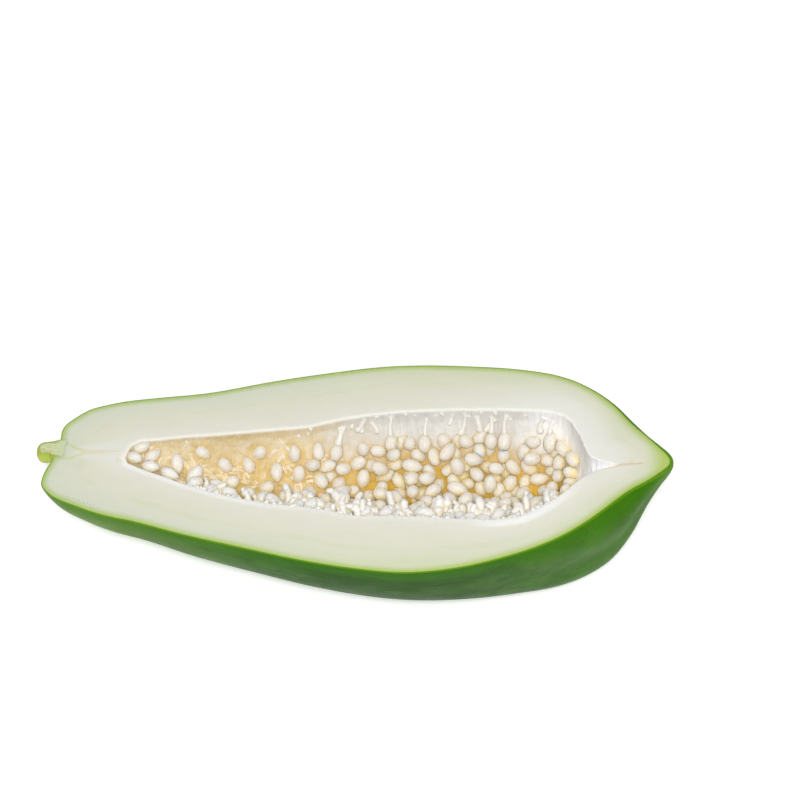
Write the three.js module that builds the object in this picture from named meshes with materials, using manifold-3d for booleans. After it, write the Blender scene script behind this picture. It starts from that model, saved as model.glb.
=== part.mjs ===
// Half of a green papaya, cut lengthways through the stalk and the blossom end, with its seeds.
// Millimetres, +Z up. The half lies on its belly with the cut face up: X runs from the stalk to the
// blossom tip, Y across the fruit. Shapes are drawn in the fruit's own frame, where the cut face is
// the plane z = 0 and x = 0 is at the shoulders round the stalk, and are then turned as the half rests.
import * as THREE from "three";
import { mergeVertices } from "three/addons/utils/BufferGeometryUtils.js";
import Module from "manifold-3d";

const { degToRad, lerp, smoothstep } = THREE.MathUtils;
const wasm = await Module();
wasm.setup();

// Sections of the whole fruit, from the dimple round the stalk to the blossom tip:
// [place along the fruit, radius, middle across, middle above the cut].
const FRUIT_SECTIONS = [
  [3.2, 0, 2.2, -3.1],
  [2.4, 5, 1.6, -2.6],
  [1.2, 8, 0.9, -1.8],
  [0.2, 10.5, 0.2, -1.2],
  [-0.3, 13.2, -0.6, -0.7],
  [0.5, 16.4, -1, -0.3],
  [3.8, 20.5, -1.3, 0],
  [8, 23.7, -1.6, 0.2],
  [15, 26.9, -2, 0.4],
  [25, 30.2, -2.4, 0.4],
  [40, 33.2, -3, 0],
  [60, 37.5, -4.5, -0.8],
  [85, 43.8, -4.4, -0.5],
  [110, 49.4, -4.6, 0],
  [130, 52.8, -4.6, 0.7],
  [150, 54.3, -4.7, 1.3],
  [170, 52.3, -3.6, -1.5],
  [190, 47.7, -1.2, -7.5],
  [205, 42.8, 0.7, -12.6],
  [217, 37, 1.8, -15.5],
  [227, 30.4, 2.3, -16],
  [235, 22, 1.3, -12.8],
  [242, 12.6, 0.2, -6.6],
  [247, 6.2, -0.6, -2.6],
  [250, 2.4, -0.8, -1.2],
  [251.5, 1.2, -0.9, -0.9],
  [252, 0, -0.9, -0.9],
];

// Five soft lobes run along the fruit and stand out most near the blossom end:
// [place along the fruit, height as a share of the radius].
const LOBES = 5;
const LOBE_TOP = degToRad(234);
const LOBE_HEIGHTS = [
  [0, 0.02],
  [130, 0.015],
  [190, 0.04],
  [230, 0.07],
  [252, 0.05],
];

// The shoulders round the stalk stand square to a line that leans this much across and down.
const END_SLANT = 0.155;
const END_SLANT_DOWN = 0.6;
const END_SLANT_LENGTH = 15;

// The seed cavity at the cut: [place along the fruit, half width, middle across, depth].
const CAVITY_SECTIONS = [
  [30.5, 0.4, -1.6, 0.4],
  [31.5, 3.6, -1, 3.4],
  [34, 6, -0.2, 5.6],
  [40, 8, -1, 8],
  [56, 12.3, -3.1, 12.5],
  [72, 15.8, -4.9, 16],
  [87, 18.6, -5.6, 19],
  [103, 20.6, -5.6, 21.5],
  [115, 23.2, -4.7, 24],
  [125, 25.6, -4.6, 26],
  [141, 27, -3.5, 27.5],
  [160, 27.8, -2.9, 28.5],
  [176, 28.4, -3, 29],
  [188, 28, -2.7, 28.5],
  [196, 26.4, -1.5, 27],
  [203, 23.4, 0.5, 24.5],
  [209, 19.2, 1.6, 21],
  [214, 12.2, 0.4, 15],
  [218, 5.4, -2.6, 8.5],
  [223, 2.3, -3, 4],
  [230, 0.3, -3, 0.5],
];

// The stalk was broken off short, and the cut takes only its upper side.
const STALK_RADIUS = 4.4;
const STALK_TIP = -7.8;
const STALK_TIP_ROUNDING = 1.6;
const STALK_NECK = -1.5;
const STALK_FLARE = 0.9;
const STALK_FLARED_AT = 1;
const STALK_ROOT = 4.5;
const STALK_MIDDLE = [2.2, -3.1];

// The bed of placenta that lines the cavity and carries the seeds. It thins towards its long edges.
const BED_FROM = 34;
const BED_TO = 213;
const BED_THICKNESS = 2.3;
const BED_EDGE_THICKNESS = 1.2;
const BED_FAR_EDGE = degToRad(17);
const BED_NEAR_EDGE = degToRad(173);

// The seeds, and how they lie: [place along the fruit, least distance between their middles].
const SEED_LENGTH = 7.3;
const SEED_WIDTH = 5.1;
const SEED_SIZE_SPREAD = 0.12;
const SEED_LEAN_MOST = degToRad(50);
const SEED_SPACING = [
  [33, 5.4],
  [42, 7],
  [55, 9],
  [85, 8.2],
  [105, 6.6],
  [120, 5.6],
  [215, 5.6],
];

// One layer lies on the bed, and a thinner one on top of it. Lift is the air under a seed.
const FIRST_DRAW = 20263;
const BED_SEEDS = { tries: 5200, from: 36, to: 212, lift: 1.1, closeness: 1 };
const UPPER_SEEDS = { tries: 700, from: 96, to: 204, lift: 4.9, closeness: 0.97 };

// How far seeds stay under the cut: near its near rim, and on the far wall, which is barer where
// the cavity is wide.
const NEAR_MARGIN = 3.4;
const FAR_MARGIN = [5, 10.5];
const FAR_MARGIN_ALONG = [40, 140];

// The short cord that ties an upper seed to the bed.
const CORD_RADIUS = 1.08;
const CORD_TIP_RADIUS = 0.54;
const CORD_ROOT_INSET = 1.3;

// How the half comes to rest, and how much of its belly is flat there.
const REST_PITCH = degToRad(3.5);
const REST_ROLL = degToRad(-2.3);
const FLAT_DEPTH = 0.5;

// Air between pieces that touch, and under the bed, whose facets are longer than the cavity's.
const GAP = 0.3;
const BED_GAP = 0.5;

// How finely each surface is divided, and how much closer the fruit's rings are at its two ends.
const FRUIT_SIDES = 48;
const FRUIT_RINGS = 56;
const RINGS_CROWD_ENDS = 0.7;
const CAVITY_SIDES = 40;
const CAVITY_RINGS = 40;
const BED_STEPS = 7;
const BED_RINGS = 16;
const STALK_SIDES = 24;
const STALK_TIP_STEPS = 4;
const GRAIN_FACETS = [5, 3];
const GRAIN_STOUTNESS = 1.14;
const CORD_SIDES = 3;

// A smooth curve through rows of [position, ...values], which gives the values at any position.
function smooth(rows) {
  const positions = rows.map((row) => row[0]);
  const values = rows.flatMap((row) => row.slice(1));
  const curve = new THREE.CubicInterpolant(positions, values, rows[0].length - 1);
  return (position) => [...curve.evaluate(position)];
}

// Repeatable random numbers between 0 and 1.
function randomFrom(start) {
  let state = start;
  return () => {
    state = (state * 48271) % 2147483647;
    return state / 2147483647;
  };
}

function ringOf(sides, pointAt) {
  return Array.from({ length: sides }, (_, side) => pointAt((2 * Math.PI * side) / sides));
}

function middleOf(points) {
  const sum = points.reduce((total, point) => total.add(point), new THREE.Vector3());
  return sum.divideScalar(points.length);
}

// A closed skin over rings of points, each ring with as many points. A fan closes it at both ends,
// round the tips given or else round the middles of the end rings.
function skinOver(rings, tips = [rings[0], rings.at(-1)].map(middleOf)) {
  const sides = rings[0].length;
  const last = (rings.length - 1) * sides;
  const faces = [];
  for (let side = 0; side < sides; side++) {
    const next = (side + 1) % sides;
    for (let ring = 0; ring < last; ring += sides) {
      faces.push(ring + side, ring + sides + next, ring + sides + side);
      faces.push(ring + side, ring + next, ring + sides + next);
    }
    faces.push(last + sides, next, side);
    faces.push(last + sides + 1, last + side, last + next);
  }
  return new THREE.BufferGeometry().setFromPoints([...rings.flat(), ...tips]).setIndex(faces);
}

// A geometry as a solid that can be joined and cut, and a solid as a geometry with flat facets.
function solidOf(geometry) {
  const bare = geometry.clone().deleteAttribute("normal").deleteAttribute("uv");
  const merged = mergeVertices(bare, 1e-4);
  const vertProperties = merged.getAttribute("position").array;
  const triVerts = new Uint32Array(merged.index.array);
  return new wasm.Manifold(new wasm.Mesh({ numProp: 3, vertProperties, triVerts }));
}

function geometryOf(solid) {
  const { vertProperties, triVerts } = solid.getMesh();
  const shared = new THREE.BufferGeometry();
  shared.setAttribute("position", new THREE.BufferAttribute(vertProperties, 3));
  shared.setIndex(new THREE.BufferAttribute(triVerts, 1));
  const faceted = shared.toNonIndexed();
  faceted.computeVertexNormals();
  return faceted;
}

// Everything between two heights.
function slab(low, high) {
  const box = new THREE.BoxGeometry(600, 300, high - low);
  return solidOf(box.translate(0, 0, (low + high) / 2));
}

const belowTheCut = slab(-200, 0);

// Turns a shape that stands along +Y so that it runs from one point to another.
function laidBetween(geometry, from, to) {
  const way = to.clone().sub(from).normalize();
  const turn = new THREE.Quaternion().setFromUnitVectors(new THREE.Vector3(0, 1, 0), way);
  const middle = from.clone().lerp(to, 0.5);
  return geometry.applyQuaternion(turn).translate(middle.x, middle.y, middle.z);
}

// The fruit's outline, followed from the stalk's dimple over the shoulders and belly to the tip.
const outlineLengths = FRUIT_SECTIONS.reduce((lengths, [x, radius], i) => {
  if (i === 0) return [0];
  const [beforeX, beforeRadius] = FRUIT_SECTIONS[i - 1];
  return [...lengths, lengths.at(-1) + Math.hypot(x - beforeX, radius - beforeRadius)];
}, []);
const fruitSection = smooth(FRUIT_SECTIONS.map((section, i) => [outlineLengths[i], ...section]));
const lobeHeight = smooth(LOBE_HEIGHTS);

function fruitRing(length) {
  const [x, radius, y, z] = fruitSection(length);
  const [lobe] = lobeHeight(x);
  const slant = END_SLANT * (1 - smoothstep(x, 0, END_SLANT_LENGTH));
  return ringOf(FRUIT_SIDES, (angle) => {
    const out = radius * (1 + lobe * Math.cos(LOBES * (angle - LOBE_TOP)));
    const across = out * Math.cos(angle);
    const up = out * Math.sin(angle);
    return new THREE.Vector3(x + slant * (across - END_SLANT_DOWN * up), y + across, z + up);
  });
}

function wholeFruit() {
  const rings = [];
  for (let ring = 1; ring < FRUIT_RINGS; ring++) {
    const turn = (2 * Math.PI * ring) / FRUIT_RINGS;
    const share = (turn - RINGS_CROWD_ENDS * Math.sin(turn)) / (2 * Math.PI);
    rings.push(fruitRing(share * outlineLengths.at(-1)));
  }
  const ends = [FRUIT_SECTIONS[0], FRUIT_SECTIONS.at(-1)];
  return solidOf(skinOver(rings, ends.map(([x, , y, z]) => new THREE.Vector3(x, y, z))));
}

const cavitySection = smooth(CAVITY_SECTIONS);

// A point inset from the cavity's wall. The angle is 0 at the far rim, a quarter turn at the bottom
// and half a turn at the near rim.
function cavityPoint(x, angle, inset) {
  const [halfWidth, y, depth] = cavitySection(x);
  const across = Math.max(halfWidth - inset, 0.05) * Math.cos(angle);
  const down = Math.max(depth - inset, 0.05) * Math.sin(angle);
  return new THREE.Vector3(x, y + across, -down);
}

// The room inside the cavity, carried on above the cut so that it opens there.
function cavityRoom(inset) {
  const from = CAVITY_SECTIONS[0][0] + inset;
  const to = CAVITY_SECTIONS.at(-1)[0] - inset;
  const rings = [];
  for (let ring = 0; ring <= CAVITY_RINGS; ring++) {
    const x = lerp(to, from, ring / CAVITY_RINGS);
    rings.push(ringOf(CAVITY_SIDES, (angle) => cavityPoint(x, angle, inset)));
  }
  return solidOf(skinOver(rings));
}

// The stalk, or its socket in the fruit when it is given some air.
function wholeStalk(air) {
  const radius = STALK_RADIUS + air;
  const tip = STALK_TIP - air;
  const root = STALK_ROOT + air;
  const profile = [];
  for (let step = 0; step <= STALK_TIP_STEPS; step++) {
    const turn = (Math.PI * step) / (2 * STALK_TIP_STEPS);
    const along = tip + STALK_TIP_ROUNDING * (1 - Math.cos(turn));
    profile.push(new THREE.Vector2(radius * Math.sin(turn), along));
  }
  profile.push(new THREE.Vector2(radius, STALK_NECK));
  profile.push(new THREE.Vector2(radius + STALK_FLARE, STALK_FLARED_AT));
  profile.push(new THREE.Vector2(radius + STALK_FLARE, root));
  profile.push(new THREE.Vector2(0, root));
  const turned = new THREE.LatheGeometry(profile, STALK_SIDES);
  return solidOf(turned.rotateZ(-Math.PI / 2).translate(0, ...STALK_MIDDLE));
}

function fruitHalf() {
  return wholeFruit().intersect(belowTheCut).subtract(cavityRoom(0)).subtract(wholeStalk(GAP));
}

function stalkStub() {
  return wholeStalk(0).intersect(belowTheCut);
}

function bedRing(x) {
  const under = [];
  const over = [];
  for (let step = 0; step <= BED_STEPS; step++) {
    const share = step / BED_STEPS;
    const angle = lerp(BED_FAR_EDGE, BED_NEAR_EDGE, share);
    const thickness = lerp(BED_EDGE_THICKNESS, BED_THICKNESS, Math.sin(Math.PI * share));
    under.unshift(cavityPoint(x, angle, BED_GAP));
    over.push(cavityPoint(x, angle, BED_GAP + thickness));
  }
  return [...over, ...under];
}

function bed() {
  const rings = [];
  for (let ring = 0; ring <= BED_RINGS; ring++) {
    rings.push(bedRing(lerp(BED_FROM, BED_TO, ring / BED_RINGS)));
  }
  return solidOf(skinOver(rings));
}

const seedSpacing = smooth(SEED_SPACING);

// One seed thrown at random on a layer: its middle, its axis, its half length and half width, and
// where its cord leaves the bed.
function thrownSeed(layer, random) {
  const x = lerp(layer.from, layer.to, random());
  const angle = Math.PI * random();
  const lean = SEED_LEAN_MOST * random();
  const turn = 2 * Math.PI * random();
  const size = 1 + SEED_SIZE_SPREAD * (2 * random() - 1);
  const halfLength = (SEED_LENGTH * size) / 2;
  const halfWidth = (SEED_WIDTH * (1 + size)) / 4;
  const reach = Math.hypot(halfLength * Math.sin(lean), halfWidth * Math.cos(lean));
  const inset = GAP + layer.lift + reach;
  const middle = cavityPoint(x, angle, inset);
  const inward = cavityPoint(x, angle, inset + 1).sub(middle).normalize();
  const axis = new THREE.Vector3(1, 0, 0);
  const around = inward.clone().cross(axis);
  axis.multiplyScalar(Math.cos(turn)).addScaledVector(around, Math.sin(turn));
  axis.multiplyScalar(Math.cos(lean)).addScaledVector(inward, Math.sin(lean));
  const root = cavityPoint(x, angle, CORD_ROOT_INSET);
  return { middle, axis, halfLength, halfWidth, root };
}

// Seeds are kept only where they lie under the cut and have room among those before them.
function seedsThrown(layer, before, random) {
  const seeds = [];
  for (let attempt = 0; attempt < layer.tries; attempt++) {
    const seed = thrownSeed(layer, random);
    const { x, y, z } = seed.middle;
    const onFarWall = y > cavitySection(x)[1];
    const margin = onFarWall ? lerp(...FAR_MARGIN, smoothstep(x, ...FAR_MARGIN_ALONG)) : NEAR_MARGIN;
    const room = layer.closeness * seedSpacing(x)[0];
    const crowded = [...before, ...seeds].some((other) => other.middle.distanceTo(seed.middle) < room);
    if (-z >= margin && !crowded) seeds.push(seed);
  }
  return seeds;
}

// A pointed, five-sided grain, stouter than the seed so that its flats hold as much.
function seedSolid({ middle, axis, halfLength, halfWidth }) {
  const radius = GRAIN_STOUTNESS * halfWidth;
  const grain = new THREE.SphereGeometry(1, ...GRAIN_FACETS).scale(radius, halfLength, radius);
  return solidOf(laidBetween(grain, middle.clone().sub(axis), middle.clone().add(axis)));
}

function cordSolid({ middle, root }) {
  const length = middle.distanceTo(root);
  const cord = new THREE.CylinderGeometry(CORD_TIP_RADIUS, CORD_RADIUS, length, CORD_SIDES);
  return solidOf(laidBetween(cord, root, middle));
}

function biggestBodyOf(solid) {
  return solid.decompose().reduce((best, body) => (body.volume() > best.volume() ? body : best));
}

function seedsOnPlacenta() {
  const random = randomFrom(FIRST_DRAW);
  const onBed = seedsThrown(BED_SEEDS, [], random);
  const upper = seedsThrown(UPPER_SEEDS, onBed, random);
  const grains = [...onBed, ...upper].map(seedSolid);
  const joined = wasm.Manifold.union([bed(), ...grains, ...upper.map(cordSolid)]);
  return biggestBodyOf(joined.intersect(cavityRoom(GAP)).intersect(belowTheCut));
}

// The pieces turned as the half rests, with the flat's plane at z = 0 and the middle of their
// length and width at x = y = 0.
function settled(solids) {
  const pieces = solids.map((solid) => geometryOf(solid).rotateX(REST_ROLL).rotateY(-REST_PITCH));
  const extent = new THREE.Box3();
  for (const geometry of pieces) {
    geometry.computeBoundingBox();
    extent.union(geometry.boundingBox);
  }
  const middle = extent.getCenter(new THREE.Vector3());
  const lift = -extent.min.z - FLAT_DEPTH;
  return pieces.map((geometry) => geometry.translate(-middle.x, -middle.y, lift));
}

function piece(name, geometry, color, roughness) {
  const mesh = new THREE.Mesh(geometry, new THREE.MeshStandardMaterial({ color, roughness }));
  mesh.name = name;
  return mesh;
}

const [half, stub, seeds] = settled([fruitHalf(), stalkStub(), seedsOnPlacenta()]);
const halfOnItsFlat = geometryOf(solidOf(half).intersect(slab(0, 200)));

const papaya = new THREE.Group();
papaya.add(piece("fruit_half", halfOnItsFlat, 0xdcdec8, 0.5));
papaya.add(piece("stalk_stub", stub, 0xb5c165, 0.7));
papaya.add(piece("seeds_on_placenta", seeds, 0xece5de, 0.65));

export default papaya;
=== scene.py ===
"""Half of a green papaya, cut lengthways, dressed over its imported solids."""

import math

import bmesh
import bpy
import numpy as np
from mathutils import Matrix, Vector
from mathutils.bvhtree import BVHTree
from mathutils.geometry import delaunay_2d_cdt


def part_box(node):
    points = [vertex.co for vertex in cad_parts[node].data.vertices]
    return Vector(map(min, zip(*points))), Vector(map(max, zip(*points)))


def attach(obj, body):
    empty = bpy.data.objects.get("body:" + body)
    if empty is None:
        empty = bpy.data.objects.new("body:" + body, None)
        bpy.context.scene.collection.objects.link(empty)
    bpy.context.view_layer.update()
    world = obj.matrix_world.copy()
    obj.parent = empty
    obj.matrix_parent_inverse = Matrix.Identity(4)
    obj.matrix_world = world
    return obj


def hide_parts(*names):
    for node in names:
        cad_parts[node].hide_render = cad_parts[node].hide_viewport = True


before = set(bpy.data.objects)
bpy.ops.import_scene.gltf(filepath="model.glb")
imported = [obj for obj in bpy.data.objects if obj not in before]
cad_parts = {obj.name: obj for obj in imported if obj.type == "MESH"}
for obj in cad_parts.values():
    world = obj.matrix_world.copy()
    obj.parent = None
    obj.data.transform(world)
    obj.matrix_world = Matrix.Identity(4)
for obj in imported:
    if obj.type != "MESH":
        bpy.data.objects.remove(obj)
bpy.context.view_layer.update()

# ------------------------------------------------------------------------------------------------
# Flesh and skin. They grew as one piece: a thin, waxy green skin over firm pale flesh round the
# seed cavity. One long cut halved the fruit and left a flat face with a crisp edge. Sizes are in
# millimetres in the fruit's own frame: the cut is z = 0 and x runs from the shoulders to the tip.

# Sections from the dimple round the stalk to the tip: [along, radius, middle across, middle above].
FRUIT_SECTIONS = [
    [2.1, 0, 2.2, -3.1], [1.3, 5, 1.6, -2.6], [0.6, 8, 0.9, -1.8], [0, 10.5, 0.2, -1.2],
    [-0.2, 13.2, -0.6, -0.7], [0.5, 16.4, -1, -0.3], [3.8, 20.5, -1.3, 0], [8, 23.7, -1.6, 0.2],
    [15, 26.9, -2, 0.4], [25, 30.2, -2.4, 0.4], [40, 33.2, -3, 0], [60, 37.5, -4.5, -0.8],
    [85, 43.8, -4.4, -0.5], [110, 49.4, -4.6, 0], [130, 52.8, -4.6, 0.7], [150, 54.3, -4.7, 1.3],
    [170, 52.3, -3.6, -1.5], [190, 47.7, -1.2, -7.5], [205, 42.8, 0.7, -12.6],
    [217, 37, 1.8, -15.5], [227, 30.4, 2.3, -16], [235, 22, 1.3, -12.8], [242, 13, 0.2, -6.6],
    [247, 7.6, -0.4, -3], [249.6, 5, -0.6, -1.8], [251.1, 3, -0.8, -1.2], [251.8, 1.5, -0.9, -1],
    [252, 0, -0.9, -0.9],
]
LOBES = 5
LOBE_TOP = math.radians(234)
LOBE_HEIGHTS = [[0, 0.02], [130, 0.015], [190, 0.04], [230, 0.07], [252, 0.05]]
END_SLANT = 0.155
END_SLANT_DOWN = 0.6
END_SLANT_LENGTH = 15

# The cavity at the cut: [along, half width, middle across, depth].
CAVITY_SECTIONS = [
    [30.5, 0.4, -1.6, 0.4], [31.5, 3.6, -1, 3.4], [34, 6, -0.2, 5.6], [40, 8, -1, 8],
    [56, 12.3, -3.1, 12.5], [72, 15.8, -4.9, 16], [87, 18.6, -5.6, 19], [103, 20.6, -5.6, 21.5],
    [115, 23.2, -4.7, 24], [125, 25.6, -4.6, 26], [141, 27, -3.5, 27.5], [160, 27.8, -2.9, 28.5],
    [176, 28.4, -3, 29], [188, 28, -2.7, 28.5], [196, 26.4, -1.5, 27], [203, 23.4, 0.5, 24.5],
    [209, 19.2, 1.6, 21], [214, 12.2, 0.4, 15], [218, 5.4, -2.6, 8.5], [223, 2.3, -3, 4],
    [230, 0.3, -3, 0.5],
]
STALK_ACROSS, STALK_ABOVE = 2.2, -3.1
STALK_FLARED_RADIUS = 5.3
STALK_ROOT = 4.5
SOCKET_LIP = 0.1

REST_PITCH = math.radians(3.5)
REST_ROLL = math.radians(-2.3)
REST_TURN = np.array(Matrix.Rotation(-REST_PITCH, 3, "Y") @ Matrix.Rotation(REST_ROLL, 3, "X"))

# The surface stays this far inside the solids, whose facets cut its curves short.
SKIN_INSET = 0.14
SKIN_DENT = 0.1
DENTS_FADE_BELOW = 8
SKIN_ROWS = 250
SKIN_COLUMNS = 108
ROWS_CROWD_ENDS = 0.75
FIRST_RING_LENGTH = 6.1
EDGE_ROUNDING = 0.3
CAVITY_ROWS = 190
CAVITY_COLUMNS = 56
RIM_ROUNDING = 0.35
RIM_WAVE = 0.3
RIM_WAVE_FROM, RIM_WAVE_TO = (31, 40), (205, 216)
CAVITY_LEAST = 0.05
CUT_FACE_SPACING = 2.2
CUT_FACE_SPAN = [(-4, 254), (-62, 56)]
EDGE_ROWS = (0.5, 1.1, 1.9, 3)
GRID_ROOM, EDGE_ROOM = 1.2, 0.42
ON_CUT = 1e-3
WELD, SPECK = 2e-3, 1e-4
FAR_OFF = 20.0
FLESH_CREASE = math.radians(32)


def smooth(rows):
    """A smooth curve through rows of [place, *values], as a function of the place."""
    rows = np.array(rows, float)
    places, values = rows[:, 0], rows[:, 1:]
    last = len(places) - 2

    def at(place):
        place = np.clip(np.asarray(place, float), places[0], places[-1])
        i = np.clip(np.searchsorted(places, place, side="right") - 1, 0, last)
        start, end = places[i], places[i + 1]
        before = np.where(i == 0, 1, i - 1)
        after = np.where(i == last, last, np.minimum(i + 2, last + 1))
        ease_in = (end - start) / 2 / (start - places[before])
        ease_out = (end - start) / 2 / (places[after] - end)
        t = (place - start) / (end - start)
        weights = [
            ease_in * (2 * t**2 - t**3 - t),
            (1 + ease_in) * t**3 - (1.5 + 2 * ease_in) * t**2 + (ease_in - 0.5) * t + 1,
            (1.5 + ease_out) * t**2 - (1 + ease_out) * t**3 + 0.5 * t,
            ease_out * (t**3 - t**2),
        ]
        steps = [before, i, i + 1, after]
        total = sum(weight[..., None] * values[step] for weight, step in zip(weights, steps))
        return np.moveaxis(total, -1, 0)

    return at


def smoothstep(value, low, high):
    t = np.clip((value - low) / (high - low), 0, 1)
    return t * t * (3 - 2 * t)


def ripple(seed, waves, *sizes):
    """A gentle random relief between -1 and 1 over places measured in the given wave sizes."""
    draw = np.random.default_rng(seed)
    directions = draw.normal(size=(waves, len(sizes)))
    directions /= np.linalg.norm(directions, axis=1)[:, None]
    phases = draw.uniform(0, 2 * math.pi, waves)

    def at(*places):
        total = 0
        for direction, phase in zip(directions, phases):
            turn = sum(way * place / size for way, place, size in zip(direction, places, sizes))
            total = total + np.cos(2 * math.pi * turn + phase)
        return total / waves**0.5 / 1.6

    return at


outline_steps = np.hypot(*np.diff(np.array(FRUIT_SECTIONS)[:, :2], axis=0).T)
outline_lengths = np.concatenate([[0], np.cumsum(outline_steps)])
fruit_section = smooth(np.column_stack([outline_lengths, FRUIT_SECTIONS]))
lobe_height = smooth(LOBE_HEIGHTS)
skin_dents = ripple(11, 14, 34, 0.9, 0.9)


def skin_point(length, angle):
    """A point on the skin, at a length along the outline and an angle round the fruit."""
    along, radius, across, above = fruit_section(length)
    out = radius * (1 + lobe_height(along)[0] * np.cos(LOBES * (angle - LOBE_TOP)))
    dent = SKIN_INSET + SKIN_DENT * (1 + skin_dents(along, np.cos(angle), np.sin(angle))) / 2
    out = out - dent * np.minimum(1, radius / DENTS_FADE_BELOW)
    slant = END_SLANT * (1 - smoothstep(along, 0, END_SLANT_LENGTH))
    y, z = out * np.cos(angle), out * np.sin(angle)
    return np.stack([along + slant * (y - END_SLANT_DOWN * z), across + y, above + z], -1)


def edge_angle(point, along, side, depth):
    """Where each ring rises to a depth below the cut, on its far (1) or near (-1) side."""
    low, high = np.zeros_like(along), np.ones_like(along)
    for _ in range(40):
        middle = (low + high) / 2
        above = point(along, -math.pi / 2 + side * math.pi * middle)[..., 2] > -depth
        low, high = np.where(above, low, middle), np.where(above, middle, high)
    return -math.pi / 2 + side * math.pi * high


def half_shell(point, along, depth, columns):
    """Rows of points round a half below its cut, and its near and far lines at the cut."""
    near, far = (edge_angle(point, along, side, depth) for side in (-1, 1))
    angles = near[:, None] + (far - near)[:, None] * np.linspace(0, 1, columns)
    lines = [point(along, edge_angle(point, along, side, 0)) for side in (-1, 1)]
    return point(along[:, None], angles), *lines


def moved_inward(line, amount, height=0):
    """A flat line moved to its left by an amount and laid at a height."""
    way = np.gradient(line[:, :2], axis=0)
    way /= np.maximum(np.linalg.norm(way, axis=1), 1e-9)[:, None]
    moved = line.copy()
    moved[:, 0] -= way[:, 1] * amount
    moved[:, 1] += way[:, 0] * amount
    moved[:, 2] = height
    return moved


def rounded_edge(top, side_line, amount):
    """Three lines that round an edge: on the face, half way round, and on the side wall."""
    half_way = amount * (1 - math.sqrt(0.5))
    return [moved_inward(top, amount), moved_inward(top, half_way, -np.abs(half_way)), side_line]


class Patches:
    """Grids and loose faces that are merged into one mesh, with a material number for each face."""

    def __init__(self):
        self.points, self.faces, self.materials = [], [], []

    def add(self, points, faces, material=0):
        start = sum(len(block) for block in self.points)
        self.points.append(np.asarray(points, float).reshape(-1, 3))
        self.faces += [[start + corner for corner in face] for face in faces]
        self.materials += [material] * len(faces)

    def grid(self, rows, material=0):
        rows = np.asarray(rows)
        height, width = rows.shape[:2]
        starts = [r * width + c for r in range(height - 1) for c in range(width - 1)]
        self.add(rows, [[s, s + 1, s + width + 1, s + width] for s in starts], material)

    def closed_mesh(self, name):
        mesh = bpy.data.meshes.new(name)
        mesh.from_pydata(np.concatenate(self.points).tolist(), [], self.faces)
        mesh.polygons.foreach_set("material_index", self.materials)
        working = bmesh.new()
        working.from_mesh(mesh)
        bmesh.ops.remove_doubles(working, verts=working.verts, dist=WELD)
        bmesh.ops.dissolve_degenerate(working, edges=working.edges, dist=SPECK)
        open_edges = [edge for edge in working.edges if edge.is_boundary]
        if open_edges:
            filled = bmesh.ops.holes_fill(working, edges=open_edges, sides=0)["faces"]
            bmesh.ops.triangulate(working, faces=filled)
        bmesh.ops.recalc_face_normals(working, faces=working.faces)
        working.to_mesh(mesh)
        working.free()
        mesh.polygons.foreach_set("use_smooth", [True] * len(mesh.polygons))
        return mesh


def read_points(mesh, kind="co"):
    """The place, or the normal, of each point of a mesh."""
    flat = np.empty(len(mesh.vertices) * 3, np.float32)
    mesh.vertices.foreach_get(kind, flat)
    return flat.reshape(-1, 3).astype(float)


def give(mesh, name, values):
    """Stores a number or a vector on each point of a mesh."""
    kind, key = ("FLOAT", "value") if np.ndim(values) == 1 else ("FLOAT_VECTOR", "vector")
    attribute = mesh.attributes.new(name, kind, "POINT")
    attribute.data.foreach_set(key, np.asarray(values, np.float32).ravel())


row_turn = np.linspace(0, 2 * math.pi, SKIN_ROWS)
row_share = (row_turn - ROWS_CROWD_ENDS * np.sin(row_turn)) / (2 * math.pi)
row_lengths = FIRST_RING_LENGTH + (outline_lengths[-1] - FIRST_RING_LENGTH) * row_share
skin_rows, near_line, far_line = half_shell(skin_point, row_lengths, EDGE_ROUNDING, SKIN_COLUMNS)

# The cut's outline runs along the near side to the tip and back along the far side.
rows_cut = int(np.sum(near_line[:, 2] > -ON_CUT))
outline = np.concatenate([near_line[:rows_cut], far_line[:rows_cut][::-1]])
skin_edge = np.concatenate([skin_rows[:rows_cut, 0], skin_rows[:rows_cut, -1][::-1]])
flesh = Patches()
SKIN, CUT, WALL = 0, 1, 2
flesh.grid(skin_rows, SKIN)
rounded_outline = rounded_edge(outline, skin_edge, EDGE_ROUNDING)
flesh.grid([line[:rows_cut] for line in rounded_outline], SKIN)
flesh.grid([line[rows_cut:] for line in rounded_outline], SKIN)

# The socket that the stalk grows out of: a short bore with a flat end.
socket_top = math.acos(-STALK_ABOVE / STALK_FLARED_RADIUS)
socket_turns = np.linspace(-1, 1, SKIN_COLUMNS) * (math.pi - socket_top) - math.pi / 2
socket_across = STALK_ACROSS + STALK_FLARED_RADIUS * np.cos(socket_turns)
socket_above = STALK_ABOVE + STALK_FLARED_RADIUS * np.sin(socket_turns)
socket_ring = np.stack([np.zeros(SKIN_COLUMNS), socket_across, socket_above], -1)
mouth = socket_ring + np.outer(skin_rows[0, :, 0] + SOCKET_LIP, [1, 0, 0])
root = socket_ring + [STALK_ROOT, 0, 0]
root_middle = np.array([STALK_ROOT, STALK_ACROSS, 0])
flesh.grid([skin_rows[0], mouth], SKIN)
flesh.grid([mouth, root], CUT)
fan = [[i, i + 1, SKIN_COLUMNS] for i in range(SKIN_COLUMNS - 1)]
flesh.add(np.concatenate([root, [root_middle]]), fan, CUT)

# The cavity wall, with a slightly wavy rim.
cavity_section = smooth(CAVITY_SECTIONS)


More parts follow.
